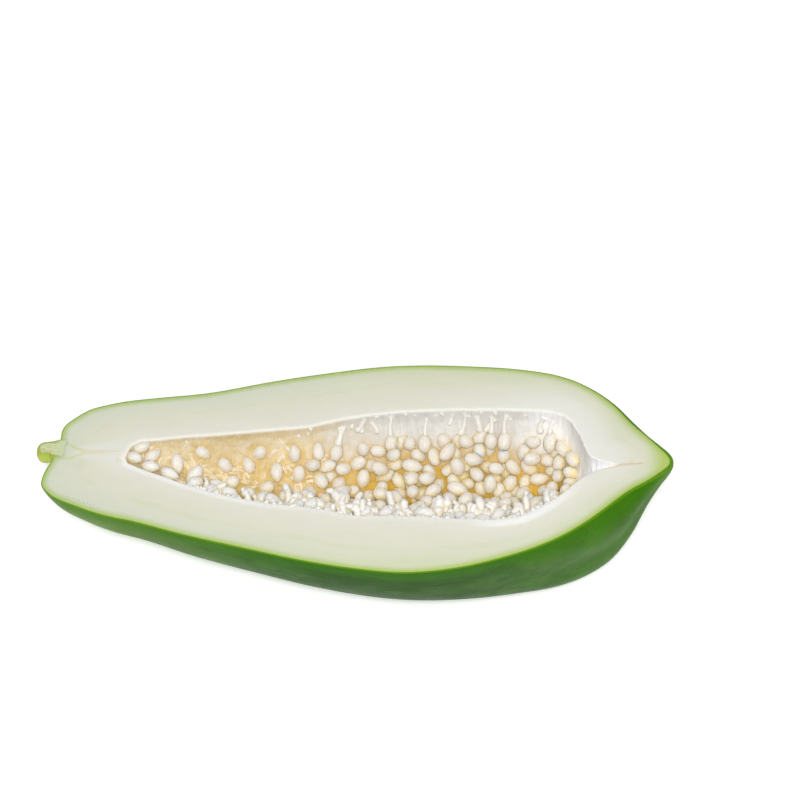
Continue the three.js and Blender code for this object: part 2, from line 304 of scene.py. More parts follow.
def cavity_point(along, angle, inset):
    """A point inset from the cavity's wall: angle 0 is the far rim, a half turn the near rim."""
    half_width, across, depth = cavity_section(along)
    y = across + np.maximum(half_width - inset, CAVITY_LEAST) * np.cos(angle)
    z = -np.maximum(depth - inset, CAVITY_LEAST) * np.sin(angle)
    return np.stack(np.broadcast_arrays(along, y, z), -1).astype(float)


rim_wave = ripple(5, 12, 9, 0.8)


def wall_point(along, angle):
    """A point on the wall, which waves a little in from its smooth shape, most at its rim."""
    near_rim = np.abs(np.cos(angle)) ** 6
    ends = smoothstep(along, *RIM_WAVE_FROM) * (1 - smoothstep(along, *RIM_WAVE_TO))
    wave = RIM_WAVE * near_rim * ends * (1 + rim_wave(along, np.sign(np.cos(angle)))) / 2
    return cavity_point(along, angle, wave)


wall_turn = np.linspace(0, math.pi, CAVITY_ROWS)
wall_share = 0.6 * (1 - np.cos(wall_turn)) / 2 + 0.4 * wall_turn / math.pi
cavity_start, cavity_end = CAVITY_SECTIONS[0][0], CAVITY_SECTIONS[-1][0]
wall_along = cavity_start + (cavity_end - cavity_start) * wall_share
wall_depth = cavity_section(wall_along)[2]
rim_angle = np.arcsin(np.minimum(RIM_ROUNDING / wall_depth, 0.6))
wall_angles = (math.pi - 2 * rim_angle)[:, None] * np.linspace(0, 1, CAVITY_COLUMNS)
wall_rows = wall_point(wall_along[:, None], rim_angle[:, None] + wall_angles)
far_rim, near_rim = (wall_point(wall_along, 0 * wall_along + angle) for angle in (0, math.pi))
rim = np.concatenate([far_rim, near_rim[::-1]])
wall_edge = np.concatenate([wall_rows[:, 0], wall_rows[:, -1][::-1]])
rounded_rim = rounded_edge(rim, wall_edge, RIM_ROUNDING)
flesh.grid(wall_rows, WALL)
flesh.grid([line[:CAVITY_ROWS] for line in rounded_rim], WALL)
flesh.grid([line[CAVITY_ROWS:] for line in rounded_rim], WALL)


def sides_of(line):
    """The two ends of each side of a closed line, seen flat."""
    return zip(line[:, :2], np.roll(line[:, :2], -1, axis=0))


def distance_to(points, line):
    """The distance from each flat point to a closed line."""
    nearest = np.full(len(points), np.inf)
    for start, end in sides_of(line):
        way = end - start
        share = np.clip((points[:, :2] - start) @ way / max(way @ way, 1e-12), 0, 1)
        gap = np.hypot(*(points[:, :2] - start - share[:, None] * way).T)
        nearest = np.minimum(nearest, gap)
    return nearest


def inside(points, line):
    """Whether each flat point lies inside a closed line."""
    odd = np.zeros(len(points), bool)
    x, y = points[:, 0], points[:, 1]
    for (x0, y0), (x1, y1) in sides_of(line):
        if y0 != y1:
            odd ^= ((y0 > y) != (y1 > y)) & (x < x0 + (x1 - x0) * (y - y0) / (y1 - y0))
    return odd


# The flat face between the outline and the rim, with points closer together along both.
socket_line = np.array([mouth[-1], root[-1], root_middle, root[0], mouth[0]])
loops = [np.concatenate([rounded_outline[0], socket_line])[:, :2], rounded_rim[0][:, :2]]


def on_face(points):
    return inside(points, loops[0]) & ~inside(points, loops[1])


grid_x, grid_y = np.meshgrid(
    np.arange(*CUT_FACE_SPAN[0], CUT_FACE_SPACING),
    np.arange(*CUT_FACE_SPAN[1], CUT_FACE_SPACING * 0.87),
)
grid_x = grid_x + (np.arange(len(grid_x)) % 2)[:, None] * CUT_FACE_SPACING / 2
scattered = [(GRID_ROOM, np.stack([grid_x.ravel(), grid_y.ravel()], -1))]
for amount in EDGE_ROWS:
    for line, rounding in ((outline, EDGE_ROUNDING), (rim, RIM_ROUNDING)):
        scattered.append((EDGE_ROOM, moved_inward(line, rounding + amount)[::2, :2]))
corners, edges = [], []
for loop in loops:
    edges += [(len(corners) + i, len(corners) + (i + 1) % len(loop)) for i in range(len(loop))]
    corners += [Vector(point) for point in loop.tolist()]
for room, points in scattered:
    clear = np.minimum(*(distance_to(points, loop) for loop in loops)) > room
    corners += [Vector(point) for point in points[on_face(points) & clear].tolist()]
face_corners, _, face_triangles, *_ = delaunay_2d_cdt(corners, edges, [], 0, 1e-5)
face_points = np.array([[x, y, 0] for x, y in face_corners])
in_flesh = on_face(face_points[np.array(face_triangles)].mean(axis=1))
flesh.add(face_points, [face for face, keep in zip(face_triangles, in_flesh) if keep], CUT)
flesh_mesh = flesh.closed_mesh("flesh_and_skin")

# Settled as the half rests: the tip, the width and the cut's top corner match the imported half.
grown = read_points(flesh_mesh)
turned = grown @ REST_TURN.T
half_low, half_high = (np.array(corner) * 1000 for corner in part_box("fruit_half"))
to_high = half_high - turned.max(axis=0)
to_middle = (half_low + half_high - turned.min(axis=0) - turned.max(axis=0)) / 2
settle_shift = np.array([to_high[0], to_middle[1], to_high[2]])


def rested(points):
    """Places in the fruit's own frame, turned and moved to where the half rests, in metres."""
    return (np.asarray(points, float) @ REST_TURN.T + settle_shift) / 1000


def settle(mesh):
    """Moves a mesh to where it rests, and keeps where each point grew, for the materials."""
    places = read_points(mesh)
    give(mesh, "grown", places)
    settled = rested(places)
    settled[:, 2] = np.maximum(settled[:, 2], 0)
    mesh.vertices.foreach_set("co", settled.astype(np.float32).ravel())
    mesh.update()


def placed(made):
    bpy.context.scene.collection.objects.link(made)
    return made


def piece(name, mesh, *materials):
    for material in materials:
        mesh.materials.append(material)
    return placed(bpy.data.objects.new(name, mesh))


on_cut = grown[:, 2] > -EDGE_ROUNDING - 0.1
give(flesh_mesh, "from_skin", np.where(on_cut, distance_to(grown, outline), 0))
give(flesh_mesh, "from_rim", np.where(on_cut, distance_to(grown, rim), FAR_OFF))
give(flesh_mesh, "seed_gap", np.full(len(grown), FAR_OFF))
settle(flesh_mesh)
flesh_mesh.set_sharp_from_angle(angle=FLESH_CREASE)


class Value:
    """A number or colour that changes over a surface; sums and products become nodes."""

    def __init__(self, finish, socket):
        self.finish, self.socket = finish, socket

    def math(self, operation, *others):
        return self.finish.worked_out(operation, self, *others)

    def __add__(self, other):
        return self.math("ADD", other)

    def __mul__(self, other):
        return self.math("MULTIPLY", other)

    __radd__, __rmul__ = __add__, __mul__

    def __sub__(self, other):
        return self.math("SUBTRACT", other)

    def __rsub__(self, other):
        return self.finish.worked_out("SUBTRACT", other, self)

    def __truediv__(self, other):
        return self.math("DIVIDE", other)

    def __pow__(self, other):
        return self.math("POWER", other)

    def __abs__(self):
        return self.math("ABSOLUTE")


def srgb(red, green, blue):
    """A colour from its screen values, 0 to 255, as the shader's linear numbers."""
    shares = (value / 255 for value in (red, green, blue))
    return (*(s / 12.92 if s <= 0.04045 else ((s + 0.055) / 1.055) ** 2.4 for s in shares), 1)


class Finish:
    """One material round a Principled shader."""

    def __init__(self, name, **uniform):
        self.material = bpy.data.materials.new(name)
        self.material.use_nodes = True
        self.tree = self.material.node_tree
        self.shader = self.tree.nodes["Principled BSDF"]
        for socket, value in uniform.items():
            self.shader.inputs[socket.replace("_", " ")].default_value = value

    def feed(self, socket, value):
        if isinstance(value, Value):
            self.tree.links.new(value.socket, socket)
        else:
            socket.default_value = value

    def node(self, kind, settings=(), inputs=(), output=0):
        made = self.tree.nodes.new(kind)
        for name, value in dict(settings).items():
            setattr(made, name, value)
        for key, value in dict(inputs).items():
            self.feed(made.inputs[key], value)
        return Value(self, made.outputs[output])

    def worked_out(self, operation, *values):
        return self.node("ShaderNodeMath", {"operation": operation}, enumerate(values))

    def stored(self, name, output="Fac"):
        return self.node("ShaderNodeAttribute", {"attribute_name": name}, output=output)

    def parts_of(self, vector):
        made = self.node("ShaderNodeSeparateXYZ", inputs={0: vector}).socket.node
        return [Value(self, socket) for socket in made.outputs]

    def grown(self):
        """Where each point grew: its place, then its distances along, across and above."""
        place = self.stored("grown", "Vector")
        return [place, *self.parts_of(place)]

    def step(self, value, low, high):
        """0 at low and 1 at high, whichever is the greater, with a smooth change between."""
        inputs = {"Value": value, "From Min": min(low, high), "From Max": max(low, high)}
        if low > high:
            inputs.update({"To Min": 1.0, "To Max": 0.0})
        return self.node("ShaderNodeMapRange", {"interpolation_type": "SMOOTHSTEP"}, inputs)

    def mix(self, share, first, second):
        settings = {"data_type": "RGBA", "clamp_factor": True}
        return self.node("ShaderNodeMix", settings, {0: share, 6: first, 7: second}, 2)

    def layered(self, colour, *layers):
        """A colour under thin layers, each [its share, then red, green, blue or a Value]."""
        for share, *shade in layers:
            colour = self.mix(share, colour, srgb(*shade) if len(shade) == 3 else shade[0])
        return colour

    def noise(self, where, scale, detail=3.0, rough=0.5, distortion=0.0):
        inputs = {"Vector": where, "Scale": scale, "Detail": detail}
        inputs.update({"Roughness": rough, "Distortion": distortion})
        return self.node("ShaderNodeTexNoise", inputs=inputs)

    def scaled(self, vector, x, y, z):
        inputs = {0: vector, 1: (x, y, z)}
        return self.node("ShaderNodeVectorMath", {"operation": "MULTIPLY"}, inputs)

    def relief(self, *rows):
        """Fine relief, each row [what rises, how strongly, how far in metres], one over another."""
        normal = None
        for height, strength, distance in rows:
            inputs = {"Height": height, "Strength": strength, "Distance": distance}
            if normal is not None:
                inputs["Normal"] = normal
            normal = self.node("ShaderNodeBump", inputs=inputs)
        return normal

    def finished(self, **varying):
        for socket, value in varying.items():
            self.feed(self.shader.inputs[socket.replace("_", " ")], value)
        return self.material


def skin_finish():
    """Waxy green skin: darker along the belly, paler by the stalk, with faint long streaks."""
    wax = Finish("waxy_skin", Coat_Roughness=0.3, Specular_IOR_Level=0.04)
    grown_at, along, across, above = wax.grown()
    streaks = wax.noise(wax.scaled(grown_at, 0.012, 0.13, 0.13), 1.0, 4.0, 0.55, 0.3)
    fine_streaks = wax.noise(wax.scaled(grown_at, 0.03, 0.75, 0.75), 1.0, 3.0, 0.6, 0.2)
    mottle = wax.noise(grown_at, 0.11, 5.0, 0.62)
    grain = wax.noise(grown_at, 1.4, 2.0, 0.5)
    specks = wax.node("ShaderNodeTexVoronoi", inputs={"Vector": grown_at, "Scale": 0.32})
    aside_y, aside_z = across - STALK_ACROSS, above - STALK_ABOVE
    stalk_gap = (aside_y * aside_y + aside_z * aside_z) ** 0.5
    shoulders = wax.step(along, 20, 8)
    scars = wax.step(stalk_gap + (grain - 0.5) * 3, 7.4, 5.8) * shoulders
    colour = wax.layered(
        srgb(36, 80, 4),
        (wax.step(streaks, 0.33, 0.67), 54, 100, 8),
        (wax.step(mottle, 0.4, 0.75) * 0.5, 30, 70, 6),
        (wax.step(fine_streaks, 0.48, 0.72) * 0.35, 76, 120, 30),
        (wax.step(along, 185, 225) * 0.35, 74, 126, 20),
        (wax.step(along, 80, 125) * wax.step(along, 205, 165) * 0.5, 22, 62, 2),
        (wax.step(along, 95, 0) * 0.6, 112, 148, 48),
        (wax.step(along, 241, 250) * 0.7, 100, 136, 44),
        (wax.step(specks, 0.1, 0.05) * 0.3, 124, 152, 84),
        (wax.step(grain, 0.35, 0.7) * 0.06, 130, 160, 90),
        (wax.step(above + (streaks - 0.5) * 6, -11, -2) * 0.5, 54, 112, 2),
        (wax.step(above, -0.9, -0.1) * 0.8, 96, 142, 20),
        (wax.step(stalk_gap, 13, 6.2) * shoulders * 0.92, 170, 188, 104),
        (scars * wax.step(grain, 0.5, 0.62) * 0.8, 160, 98, 50),
    )
    return wax.finished(
        Base_Color=colour,
        Roughness=0.34 + wax.step(mottle, 0.3, 0.7) * 0.1 + grain * 0.06,
        Normal=wax.relief(
            (streaks, 0.25, 0.0012), (fine_streaks, 0.3, 0.0005), (grain, 0.18, 0.00018)
        ),
        Coat_Weight=streaks * 0.03 + wax.step(along, 140, 200) * wax.step(along, 242, 222) * 0.04,
    )


# Marks on the cut face, each a line of [x, y, half width]: a pale halo and bundles of fibre that
# the stalk sends into the flesh, and the closed seam past the cavity's end.
STALK_HALO = [(12, 0, 5), (24, 0, 9), (32, -2, 12)]
STALK_FIBRES = [
    [(0, 4.2, 1.2), (4, 4.6, 1.4), (7, 3.6, 1.1), (10, 1.6, 1.2)]
    + [(14, 0.2, 1.9), (20, 0.4, 1.4), (28.5, 1.2, 0.2)],
    [(0.5, -2.2, 1.2), (3.5, -3.4, 1.2), (8, -3, 0.9), (11, -1.4, 1.3), (14, 0, 1.6)],
    [(1, 2.2, 0.8), (3.4, 0.6, 0.8), (4.8, -1.6, 0.7)],
    [(26.5, -3.2, 0.4), (30, -4.7, 1.3), (31, -5.2, 0.5)],
]
SEAM = [(223, -3.5, 0.6), (230, -2.9, 0.9), (235, -2.3, 0.9), (240, -1.8, 0.3)]


def on_line(finish, x, y, start, end):
    """1 on a straight line between two places on the cut face, fading to 0 at its sides."""
    way = (end[0] - start[0], end[1] - start[1])
    length = way[0] ** 2 + way[1] ** 2
    share = (x - start[0]) * (way[0] / length) + (y - start[1]) * (way[1] / length)
    share = share.math("MAXIMUM", 0.0).math("MINIMUM", 1.0)
    aside_x = x - start[0] - share * way[0]
    aside_y = y - start[1] - share * way[1]
    gap = (aside_x * aside_x + aside_y * aside_y) ** 0.5
    width = share * (end[2] - start[2]) + start[2]
    return finish.step(gap / width, 1.0, 0.25)


def on_lines(finish, x, y, *lines):
    """1 on any of the lines."""
    parts = [on_line(finish, x, y, *ends) for line in lines for ends in zip(line, line[1:])]
    total = parts[0]
    for part in parts[1:]:
        total = total.math("MAXIMUM", part)
    return total


def flesh_finish():
    """Moist pale flesh: a thin green rind, a lime layer, then green-white to cream inside."""
    moist = Finish(
        "cut_flesh",
        Subsurface_Weight=0.5,
        Subsurface_Scale=0.003,
        Subsurface_Radius=(1.0, 0.95, 0.75),
        Specular_IOR_Level=0.35,
    )
    grown_at, along, across, _ = moist.grown()
    skin_gap, rim_gap = moist.stored("from_skin"), moist.stored("from_rim")
    cloud = moist.noise(moist.scaled(grown_at, 0.03, 0.08, 0.08), 1.0, 3.0, 0.55)
    grain = moist.noise(grown_at, 0.9, 4.0, 0.6)
    wander = skin_gap / (skin_gap + rim_gap + 0.01) + (cloud - 0.5) * 0.3
    vein = moist.step(abs(wander - 0.43), 0.09, 0.0) * moist.step(cloud, 0.42, 0.6)
    halo = on_lines(moist, along, across, STALK_HALO)
    fibres = on_lines(moist, along, across, *STALK_FIBRES) * moist.step(grain, 0.25, 0.6)
    fibre_colour = moist.mix(moist.step(along, 4, 16), srgb(200, 212, 128), srgb(224, 218, 172))
    seam = on_lines(moist, along, across, SEAM) * moist.step(grain, 0.2, 0.6)
    lime_reach = 3.7 + moist.step(along, 205, 245) * 0.7 + (cloud - 0.5) * 1.6
    lime = (1 - (skin_gap / lime_reach).math("MINIMUM", 1.0)) ** 1.3
    rind = moist.step(skin_gap - moist.step(along, 240, 250) * 0.9, 0.75, 0.2)
    far_end = moist.step(along, 150, 212) * moist.step(rim_gap, 18, 2) * moist.step(along, 240, 224)
    near_side = moist.step(across, 2, -6)
    ragged_gap = rim_gap + (grain - 0.5) * 0.9
    wide_band = moist.step(ragged_gap, 3.4, 1.1) * near_side
    wide_band = wide_band * (0.25 + moist.step(along, 115, 75) * 0.5)
    end_band = moist.step(ragged_gap, 4.8, 3) * near_side * moist.step(along, 168, 190) * 0.85
    membrane = moist.step(ragged_gap, 1.8, 0.4) * 0.45 + wide_band + end_band
    flat = {"voronoi_dimensions": "2D"}
    dots = moist.node("ShaderNodeTexVoronoi", flat, {"Vector": grown_at, "Scale": 0.8})
    dotted = moist.step(abs(along - 16), 9, 5) * near_side
    dotted = dotted * moist.step(abs(skin_gap - 2.9), 1.3, 0.6)
    colour = moist.layered(
        moist.mix(moist.step(along, 150, 70), srgb(216, 221, 191), srgb(217, 222, 202)),
        (moist.step(wander, 0.05, 0.55), 227, 226, 208),
        (moist.step(wander, 0.5, 1.0), 232, 230, 218),
        (vein * 0.22, 203, 213, 166),
        (halo * 0.65, 236, 235, 228),
        (fibres * 0.7, fibre_colour),
        (seam * 0.8, 216, 182, 124),
        (lime, 162, 190, 36),
        (moist.step(along, 240, 249) * 0.78, 178, 202, 84),
        (rind, 92, 138, 26),
        (far_end * (0.3 + moist.step(across, -8, 4) * 0.5), 238, 238, 232),
        (membrane * moist.step(along, 222, 200), 254, 253, 246),
        (moist.step(dots, 0.26, 0.14) * dotted * 0.6, 150, 176, 150),
    )
    relief = moist.relief((grain, 0.22, 0.0003), (cloud, 0.2, 0.0016))
    return moist.finished(Base_Color=colour, Roughness=0.42 + grain * 0.12, Normal=relief)


def wall_finish():
    """Moist lining: tan and fibrous by the stalk, white high on the wide end, golden deep down,
    with a painted golden shade round the seeds.
    """
    lining = Finish("cavity_lining", Specular_IOR_Level=0.15)
    step = lining.step
    grown_at, along, across, above = lining.grown()
    patches = lining.noise(grown_at, 0.12, 3.0, 0.55)
    tissue = lining.noise(grown_at, 0.24, 5.0, 0.62, 0.9)
    fibre = lining.noise(grown_at, 0.8, 4.0, 0.62, 1.4)
    ribs = lining.noise(lining.scaled(grown_at, 0.4, 0.07, 0.07), 1.0, 3.0, 0.5, 0.4)
    wide_end = step(along + (patches - 0.5) * 26, 92, 138)
    deep = step(above + wide_end * 8.0 + (patches - 0.5) * 9, -6.0, -16)
    tan = lining.layered(
        srgb(214, 194, 146),
        (step(tissue, 0.4, 0.64), 226, 213, 187),
        (step(fibre, 0.42, 0.7) * 0.55, 227, 216, 194),
        (step(abs(along - 98), 22, 8) * 0.45, 236, 218, 178),
        (step(patches, 0.5, 0.62) * step(abs(along - 66), 28, 12) * 0.35, 208, 180, 118),
    )
    ribbed = step(ribs * 0.6 + tissue * 0.4, 0.36, 0.6)
    white = lining.mix(ribbed, srgb(220, 218, 212), srgb(229, 228, 226))
    golden = lining.layered(
        srgb(208, 175, 78),
        (step(tissue, 0.36, 0.66), 228, 203, 144),
        (wide_end * 0.85, 209, 168, 44),
    )
    high_up = step(above, -17, -11) * wide_end
    # Painted shade: a golden contact shade on the pulp round each seed, weaker high on the wide
    # end.
    painted_shade_round_seeds = step(lining.stored("seed_gap") + (fibre - 0.5) * 3, 6.0, 2.6)
    painted_shade_round_seeds = painted_shade_round_seeds * (0.5 + wide_end * 0.35 - high_up * 0.85)
    seed_shade_colour = lining.mix(wide_end, srgb(210, 178, 92), srgb(216, 179, 80))
    # The wall by the tip is white; its near-full white is partly painted light, lifting the shade
    # on the steep end wall.
    far_end = step(along + (patches - 0.5) * 8, 184, 200) * step(above, -21, -14)
    groove = step(along, 214, 222) * step(abs(across + 3.4), 1.4, 0.3)
    colour = lining.layered(
        tan,
        (wide_end, white),
        (deep * (0.6 + wide_end * 0.4), golden),
        (painted_shade_round_seeds, seed_shade_colour),
        (far_end, 249, 249, 250),
        (groove * 0.7, 226, 200, 158),
        (step(above, -1.4, -0.15) * step(along, 222, 205) * 0.8, 249, 248, 240),
    )
    relief = lining.relief((ribs, 0.5, 0.0025), (fibre, 0.45, 0.0008))
    return lining.finished(Base_Color=colour, Roughness=0.4 + fibre * 0.15, Normal=relief)


cavity_lining = wall_finish()
papaya_half = piece("papaya_half", flesh_mesh, skin_finish(), flesh_finish(), cavity_lining)
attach(papaya_half, "root")
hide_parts("fruit_half")

# ------------------------------------------------------------------------------------------------
# Stalk stub. The stalk was snapped off short and the knife took its upper side, so a pale, stringy
# core shows between two green edges. It grows out of the shoulders and is let into its socket.
STALK_RADIUS = 4.7
STALK_TIP = -7.76
STALK_TIP_ROUNDING = 3.3
STALK_TIP_RINGS, STALK_RINGS = 14, 40
STALK_TIP_GAP = 0.25
STALK_FLARE = (-2.4, 1.2)
STALK_LUMPS_END = (-1, 1.5)
STALK_LUMP_SHARE = 0.12
STALK_EDGE_END = (0.2, 1.8)
STALK_EDGE_ROUNDING = 0.35
STALK_COLUMNS = 72
STALK_CUT_COLUMNS = 18
STALK_CREASE = math.radians(35)

tip_turns = np.linspace(0, math.pi / 2, STALK_TIP_RINGS)
tip_rings = STALK_TIP + STALK_TIP_ROUNDING * (1 - np.cos(tip_turns))
straight_from = STALK_TIP + STALK_TIP_ROUNDING + STALK_TIP_GAP
straight_rings = np.linspace(straight_from, STALK_ROOT, STALK_RINGS)
stalk_along = np.concatenate([tip_rings, straight_rings])
stalk_lumps = ripple(23, 16, 4.2, 0.7, 0.7)


def stalk_point(along, angle):
    """A point on the lumpy stalk, whose end is rounded and whose root flares into its socket."""
    end_round = np.clip((STALK_TIP + STALK_TIP_ROUNDING - along) / STALK_TIP_ROUNDING, 0, 1)
    flare = (STALK_FLARED_RADIUS - STALK_RADIUS) * smoothstep(along, *STALK_FLARE)
    free = 1 - smoothstep(along, *STALK_LUMPS_END)
    lumps = 1 + stalk_lumps(along, np.cos(angle), np.sin(angle))
    out = STALK_RADIUS * np.sqrt(1 - end_round**2) + flare
    out = out * (1 - STALK_LUMP_SHARE * free * lumps / 2)
    y, z = STALK_ACROSS + out * np.cos(angle), STALK_ABOVE + out * np.sin(angle)
    return np.stack(np.broadcast_arrays(along, y, z), -1).astype(float)


stalk_rounding = STALK_EDGE_ROUNDING * (1 - smoothstep(stalk_along, *STALK_EDGE_END)) + ON_CUT
stalk_rows, *stalk_lines = half_shell(stalk_point, stalk_along, stalk_rounding, STALK_COLUMNS)
first_cut = int(np.argmax(stalk_lines[0][:, 2] > -ON_CUT))
near_line, far_line = (line[first_cut:] for line in stalk_lines)
stalk = Patches()
stalk.grid(stalk_rows)
stalk_faces = []
for side, line, column in ((1, near_line, 0), (-1, far_line, -1)):
    amounts = side * stalk_rounding[first_cut:]
    rounded = rounded_edge(line, stalk_rows[first_cut:, column], amounts)
    stalk.grid(rounded)
    stalk_faces.append(rounded[0])
cut_share = np.linspace(0, 1, STALK_CUT_COLUMNS)[:, None, None]
stalk.grid(stalk_faces[0] + (stalk_faces[1] - stalk_faces[0]) * cut_share)
stalk_mesh = stalk.closed_mesh("stalk_stub_detailed")
stalk_places = read_points(stalk_mesh)
from_edge = distance_to(stalk_places, np.concatenate([near_line, far_line[::-1]]))
give(stalk_mesh, "from_edge", np.where(stalk_places[:, 2] > -0.05, from_edge, 0))
settle(stalk_mesh)
stalk_mesh.set_sharp_from_angle(angle=STALK_CREASE)


def stalk_finish():
    """Green bark with brown flecks, and a stringy, pale core where it is cut."""
    stem = Finish(
        "stalk_fibre",
        Subsurface_Weight=0.15,
        Subsurface_Scale=0.001,
        Subsurface_Radius=(1.0, 0.9, 0.5),
        Specular_IOR_Level=0.4,
    )
    grown_at, along, _, above = stem.grown()
    edge_gap = stem.stored("from_edge")
    strings = stem.noise(stem.scaled(grown_at, 0.16, 1.1, 1.1), 1.0, 4.0, 0.6, 0.7)
    blotch = stem.noise(grown_at, 0.55, 3.0, 0.6)
    flecks = stem.node("ShaderNodeTexVoronoi", inputs={"Vector": grown_at, "Scale": 1.4})
    bark = stem.layered(
        srgb(160, 184, 66),
        (stem.step(blotch, 0.35, 0.65), 184, 200, 96),
        (stem.step(strings, 0.5, 0.7) * 0.5, 194, 206, 118),
        (stem.step(above, -1.7, -0.4) * 0.6, 150, 182, 54),
    )
    core = stem.layered(
        srgb(196, 208, 136),
        (stem.step(strings, 0.38, 0.62), 222, 227, 198),
        (stem.step(blotch, 0.5, 0.7) * 0.4, 206, 214, 158),
    )
    worn = stem.step(flecks, 0.4, 0.18) * stem.step(blotch, 0.34, 0.46) * stem.step(along, 2, -0.5)
    joint = stem.step(abs(along + 0.6), 1.5, 0.3) * stem.step(edge_gap, 0.5, 0.1)
    colour = stem.layered(
        bark,
        (stem.step(edge_gap + (blotch - 0.5) * 1.4, 0.25, 1.3), core),
        (stem.step(along, 0.2, 4.3) * 0.96, 212, 219, 184),
        (worn * 0.7, 206, 138, 82),
        (joint * stem.step(blotch, 0.4, 0.6) * 0.7, 150, 92, 44),
    )
    relief = stem.relief((strings, 0.5, 0.0006), (blotch, 0.4, 0.0008))
    return stem.finished(Base_Color=colour, Roughness=0.45 + blotch * 0.2, Normal=relief)


stalk_piece = piece("stalk_core_and_bark", stalk_mesh, stalk_finish())
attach(stalk_piece, "root")
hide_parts("stalk_stub")

# ------------------------------------------------------------------------------------------------
# Placenta. A thin, lumpy layer of soft pulp that grew over the cavity's wall and feeds the seeds.
# It thins out to nothing towards its edges, and it is golden where it is deepest.
PLACENTA_FROM, PLACENTA_TO = 33, 221
PLACENTA_FAR_EDGE, PLACENTA_NEAR_EDGE = math.radians(4), math.radians(177)
PLACENTA_THICKNESS = 2.6
PLACENTA_EDGE = -0.12
PLACENTA_SUNK = 0.25
PLACENTA_FULL_FROM, PLACENTA_THIN_FROM, PLACENTA_THINNER_FROM = 46, 190, 206
PLACENTA_ROWS = 230
PLACENTA_COLUMNS = 70

pulp_along = np.linspace(PLACENTA_FROM, PLACENTA_TO, PLACENTA_ROWS)[:, None]
pulp_share = np.linspace(0, 1, PLACENTA_COLUMNS)[None, :]
pulp_angle = PLACENTA_FAR_EDGE + (PLACENTA_NEAR_EDGE - PLACENTA_FAR_EDGE) * pulp_share
pulp_lumps, pulp_ridges = ripple(31, 26, 9, 9, 9), ripple(37, 30, 5, 2.6, 2.6)


def pulp_height(along, angle):
    """How thick the placenta is at a place on the wall."""
    share = (angle - PLACENTA_FAR_EDGE) / (PLACENTA_NEAR_EDGE - PLACENTA_FAR_EDGE)
    spread = 0.3 * smoothstep(share, 0, 0.1) + 0.7 * smoothstep(share, 0.06, 0.36)
    spread = spread * (1 - smoothstep(share, 0.8, 1))
    ends = smoothstep(along, PLACENTA_FROM, PLACENTA_FULL_FROM)
    ends = ends * (1 - 0.65 * smoothstep(along, PLACENTA_THIN_FROM, PLACENTA_THIN_FROM + 18))
    ends = ends * (1 - smoothstep(along, PLACENTA_THINNER_FROM, PLACENTA_TO))
    at = np.moveaxis(cavity_point(along, angle, 0), -1, 0)
    relief = 0.78 + 0.3 * pulp_lumps(*at) + 0.16 * pulp_ridges(*at)
    return PLACENTA_EDGE + PLACENTA_THICKNESS * spread * ends * np.clip(relief, 0.2, 1.2)


pulp_top = cavity_point(pulp_along, pulp_angle, pulp_height(pulp_along, pulp_angle))
pulp_base = cavity_point(pulp_along, pulp_angle, -PLACENTA_SUNK)
placenta = Patches()
placenta.grid(pulp_top)
placenta.grid(pulp_base)
for border in (np.s_[:, 0], np.s_[:, -1], 0, -1):
    placenta.grid([pulp_top[border], pulp_base[border]])
placenta_mesh = placenta.closed_mesh("placenta")
placenta_piece = piece("placenta_pulp", placenta_mesh, cavity_lining)
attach(placenta_piece, "root")
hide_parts("seeds_on_placenta")

# ------------------------------------------------------------------------------------------------
# Seeds. Unripe and still white: plump grains, a little pointed where the cord meets them, with fine
# lines from end to end. They lie close in the wide end and scattered near the stalk.
SEED_LENGTH = 7.3
SEED_WIDTH = 5.1
SEED_SIZE_SPREAD = 0.12
SEED_LEAN_MOST = math.radians(50)
SEED_SPACING = [[33, 5.4], [42, 7], [55, 9], [85, 8.2], [105, 6.6], [120, 5.6], [215, 5.6]]
FIRST_DRAW, DRAW_STEP, DRAW_RANGE = 20263, 48271, 2147483647
BED_SEEDS = {"tries": 5200, "start": 36, "end": 212, "lift": 1.1, "closeness": 1}
UPPER_SEEDS = {"tries": 700, "start": 96, "end": 204, "lift": 4.9, "closeness": 0.97}
BURIED_SEEDS = {"tries": 500, "start": 58, "end": 207, "lift": -0.9, "closeness": 0.78}
SEED_CLEARANCE = 0.3
NEAR_MARGIN = 3.4
FAR_MARGINS = (5, 10.5)
FAR_MARGIN_PLACES = (40, 140)
SEED_SIDES = 12
SEED_RINGS = 8
# A seed stands a little fuller than its solid, across both ways and from end to end.
SEED_FULLNESS = (1.08, 1.03, 1.06)
# Four seeds fill the narrow point by the stalk: [middle, axis].
APEX_SEEDS = [
    [(35.6, 4.6, -2.2), (0.85, 0.5, 0.1)],
    [(33.6, -0.3, -2.3), (0.9, -0.35, 0.1)],
    [(40.2, 1.9, -4.2), (0.8, 0.6, 0.2)],
    [(40.6, -4.5, -3), (0.97, -0.2, 0.1)],
]
APEX_SIZE = {"half_length": 3.5, "half_width": 2.4}
APEX_ROOM = 4.4

seed_spacing = smooth(SEED_SPACING)


def draws(first):
    """Repeatable numbers between 0 and 1."""
    state = first
    while True:
        state = state * DRAW_STEP % DRAW_RANGE
        yield state / DRAW_RANGE


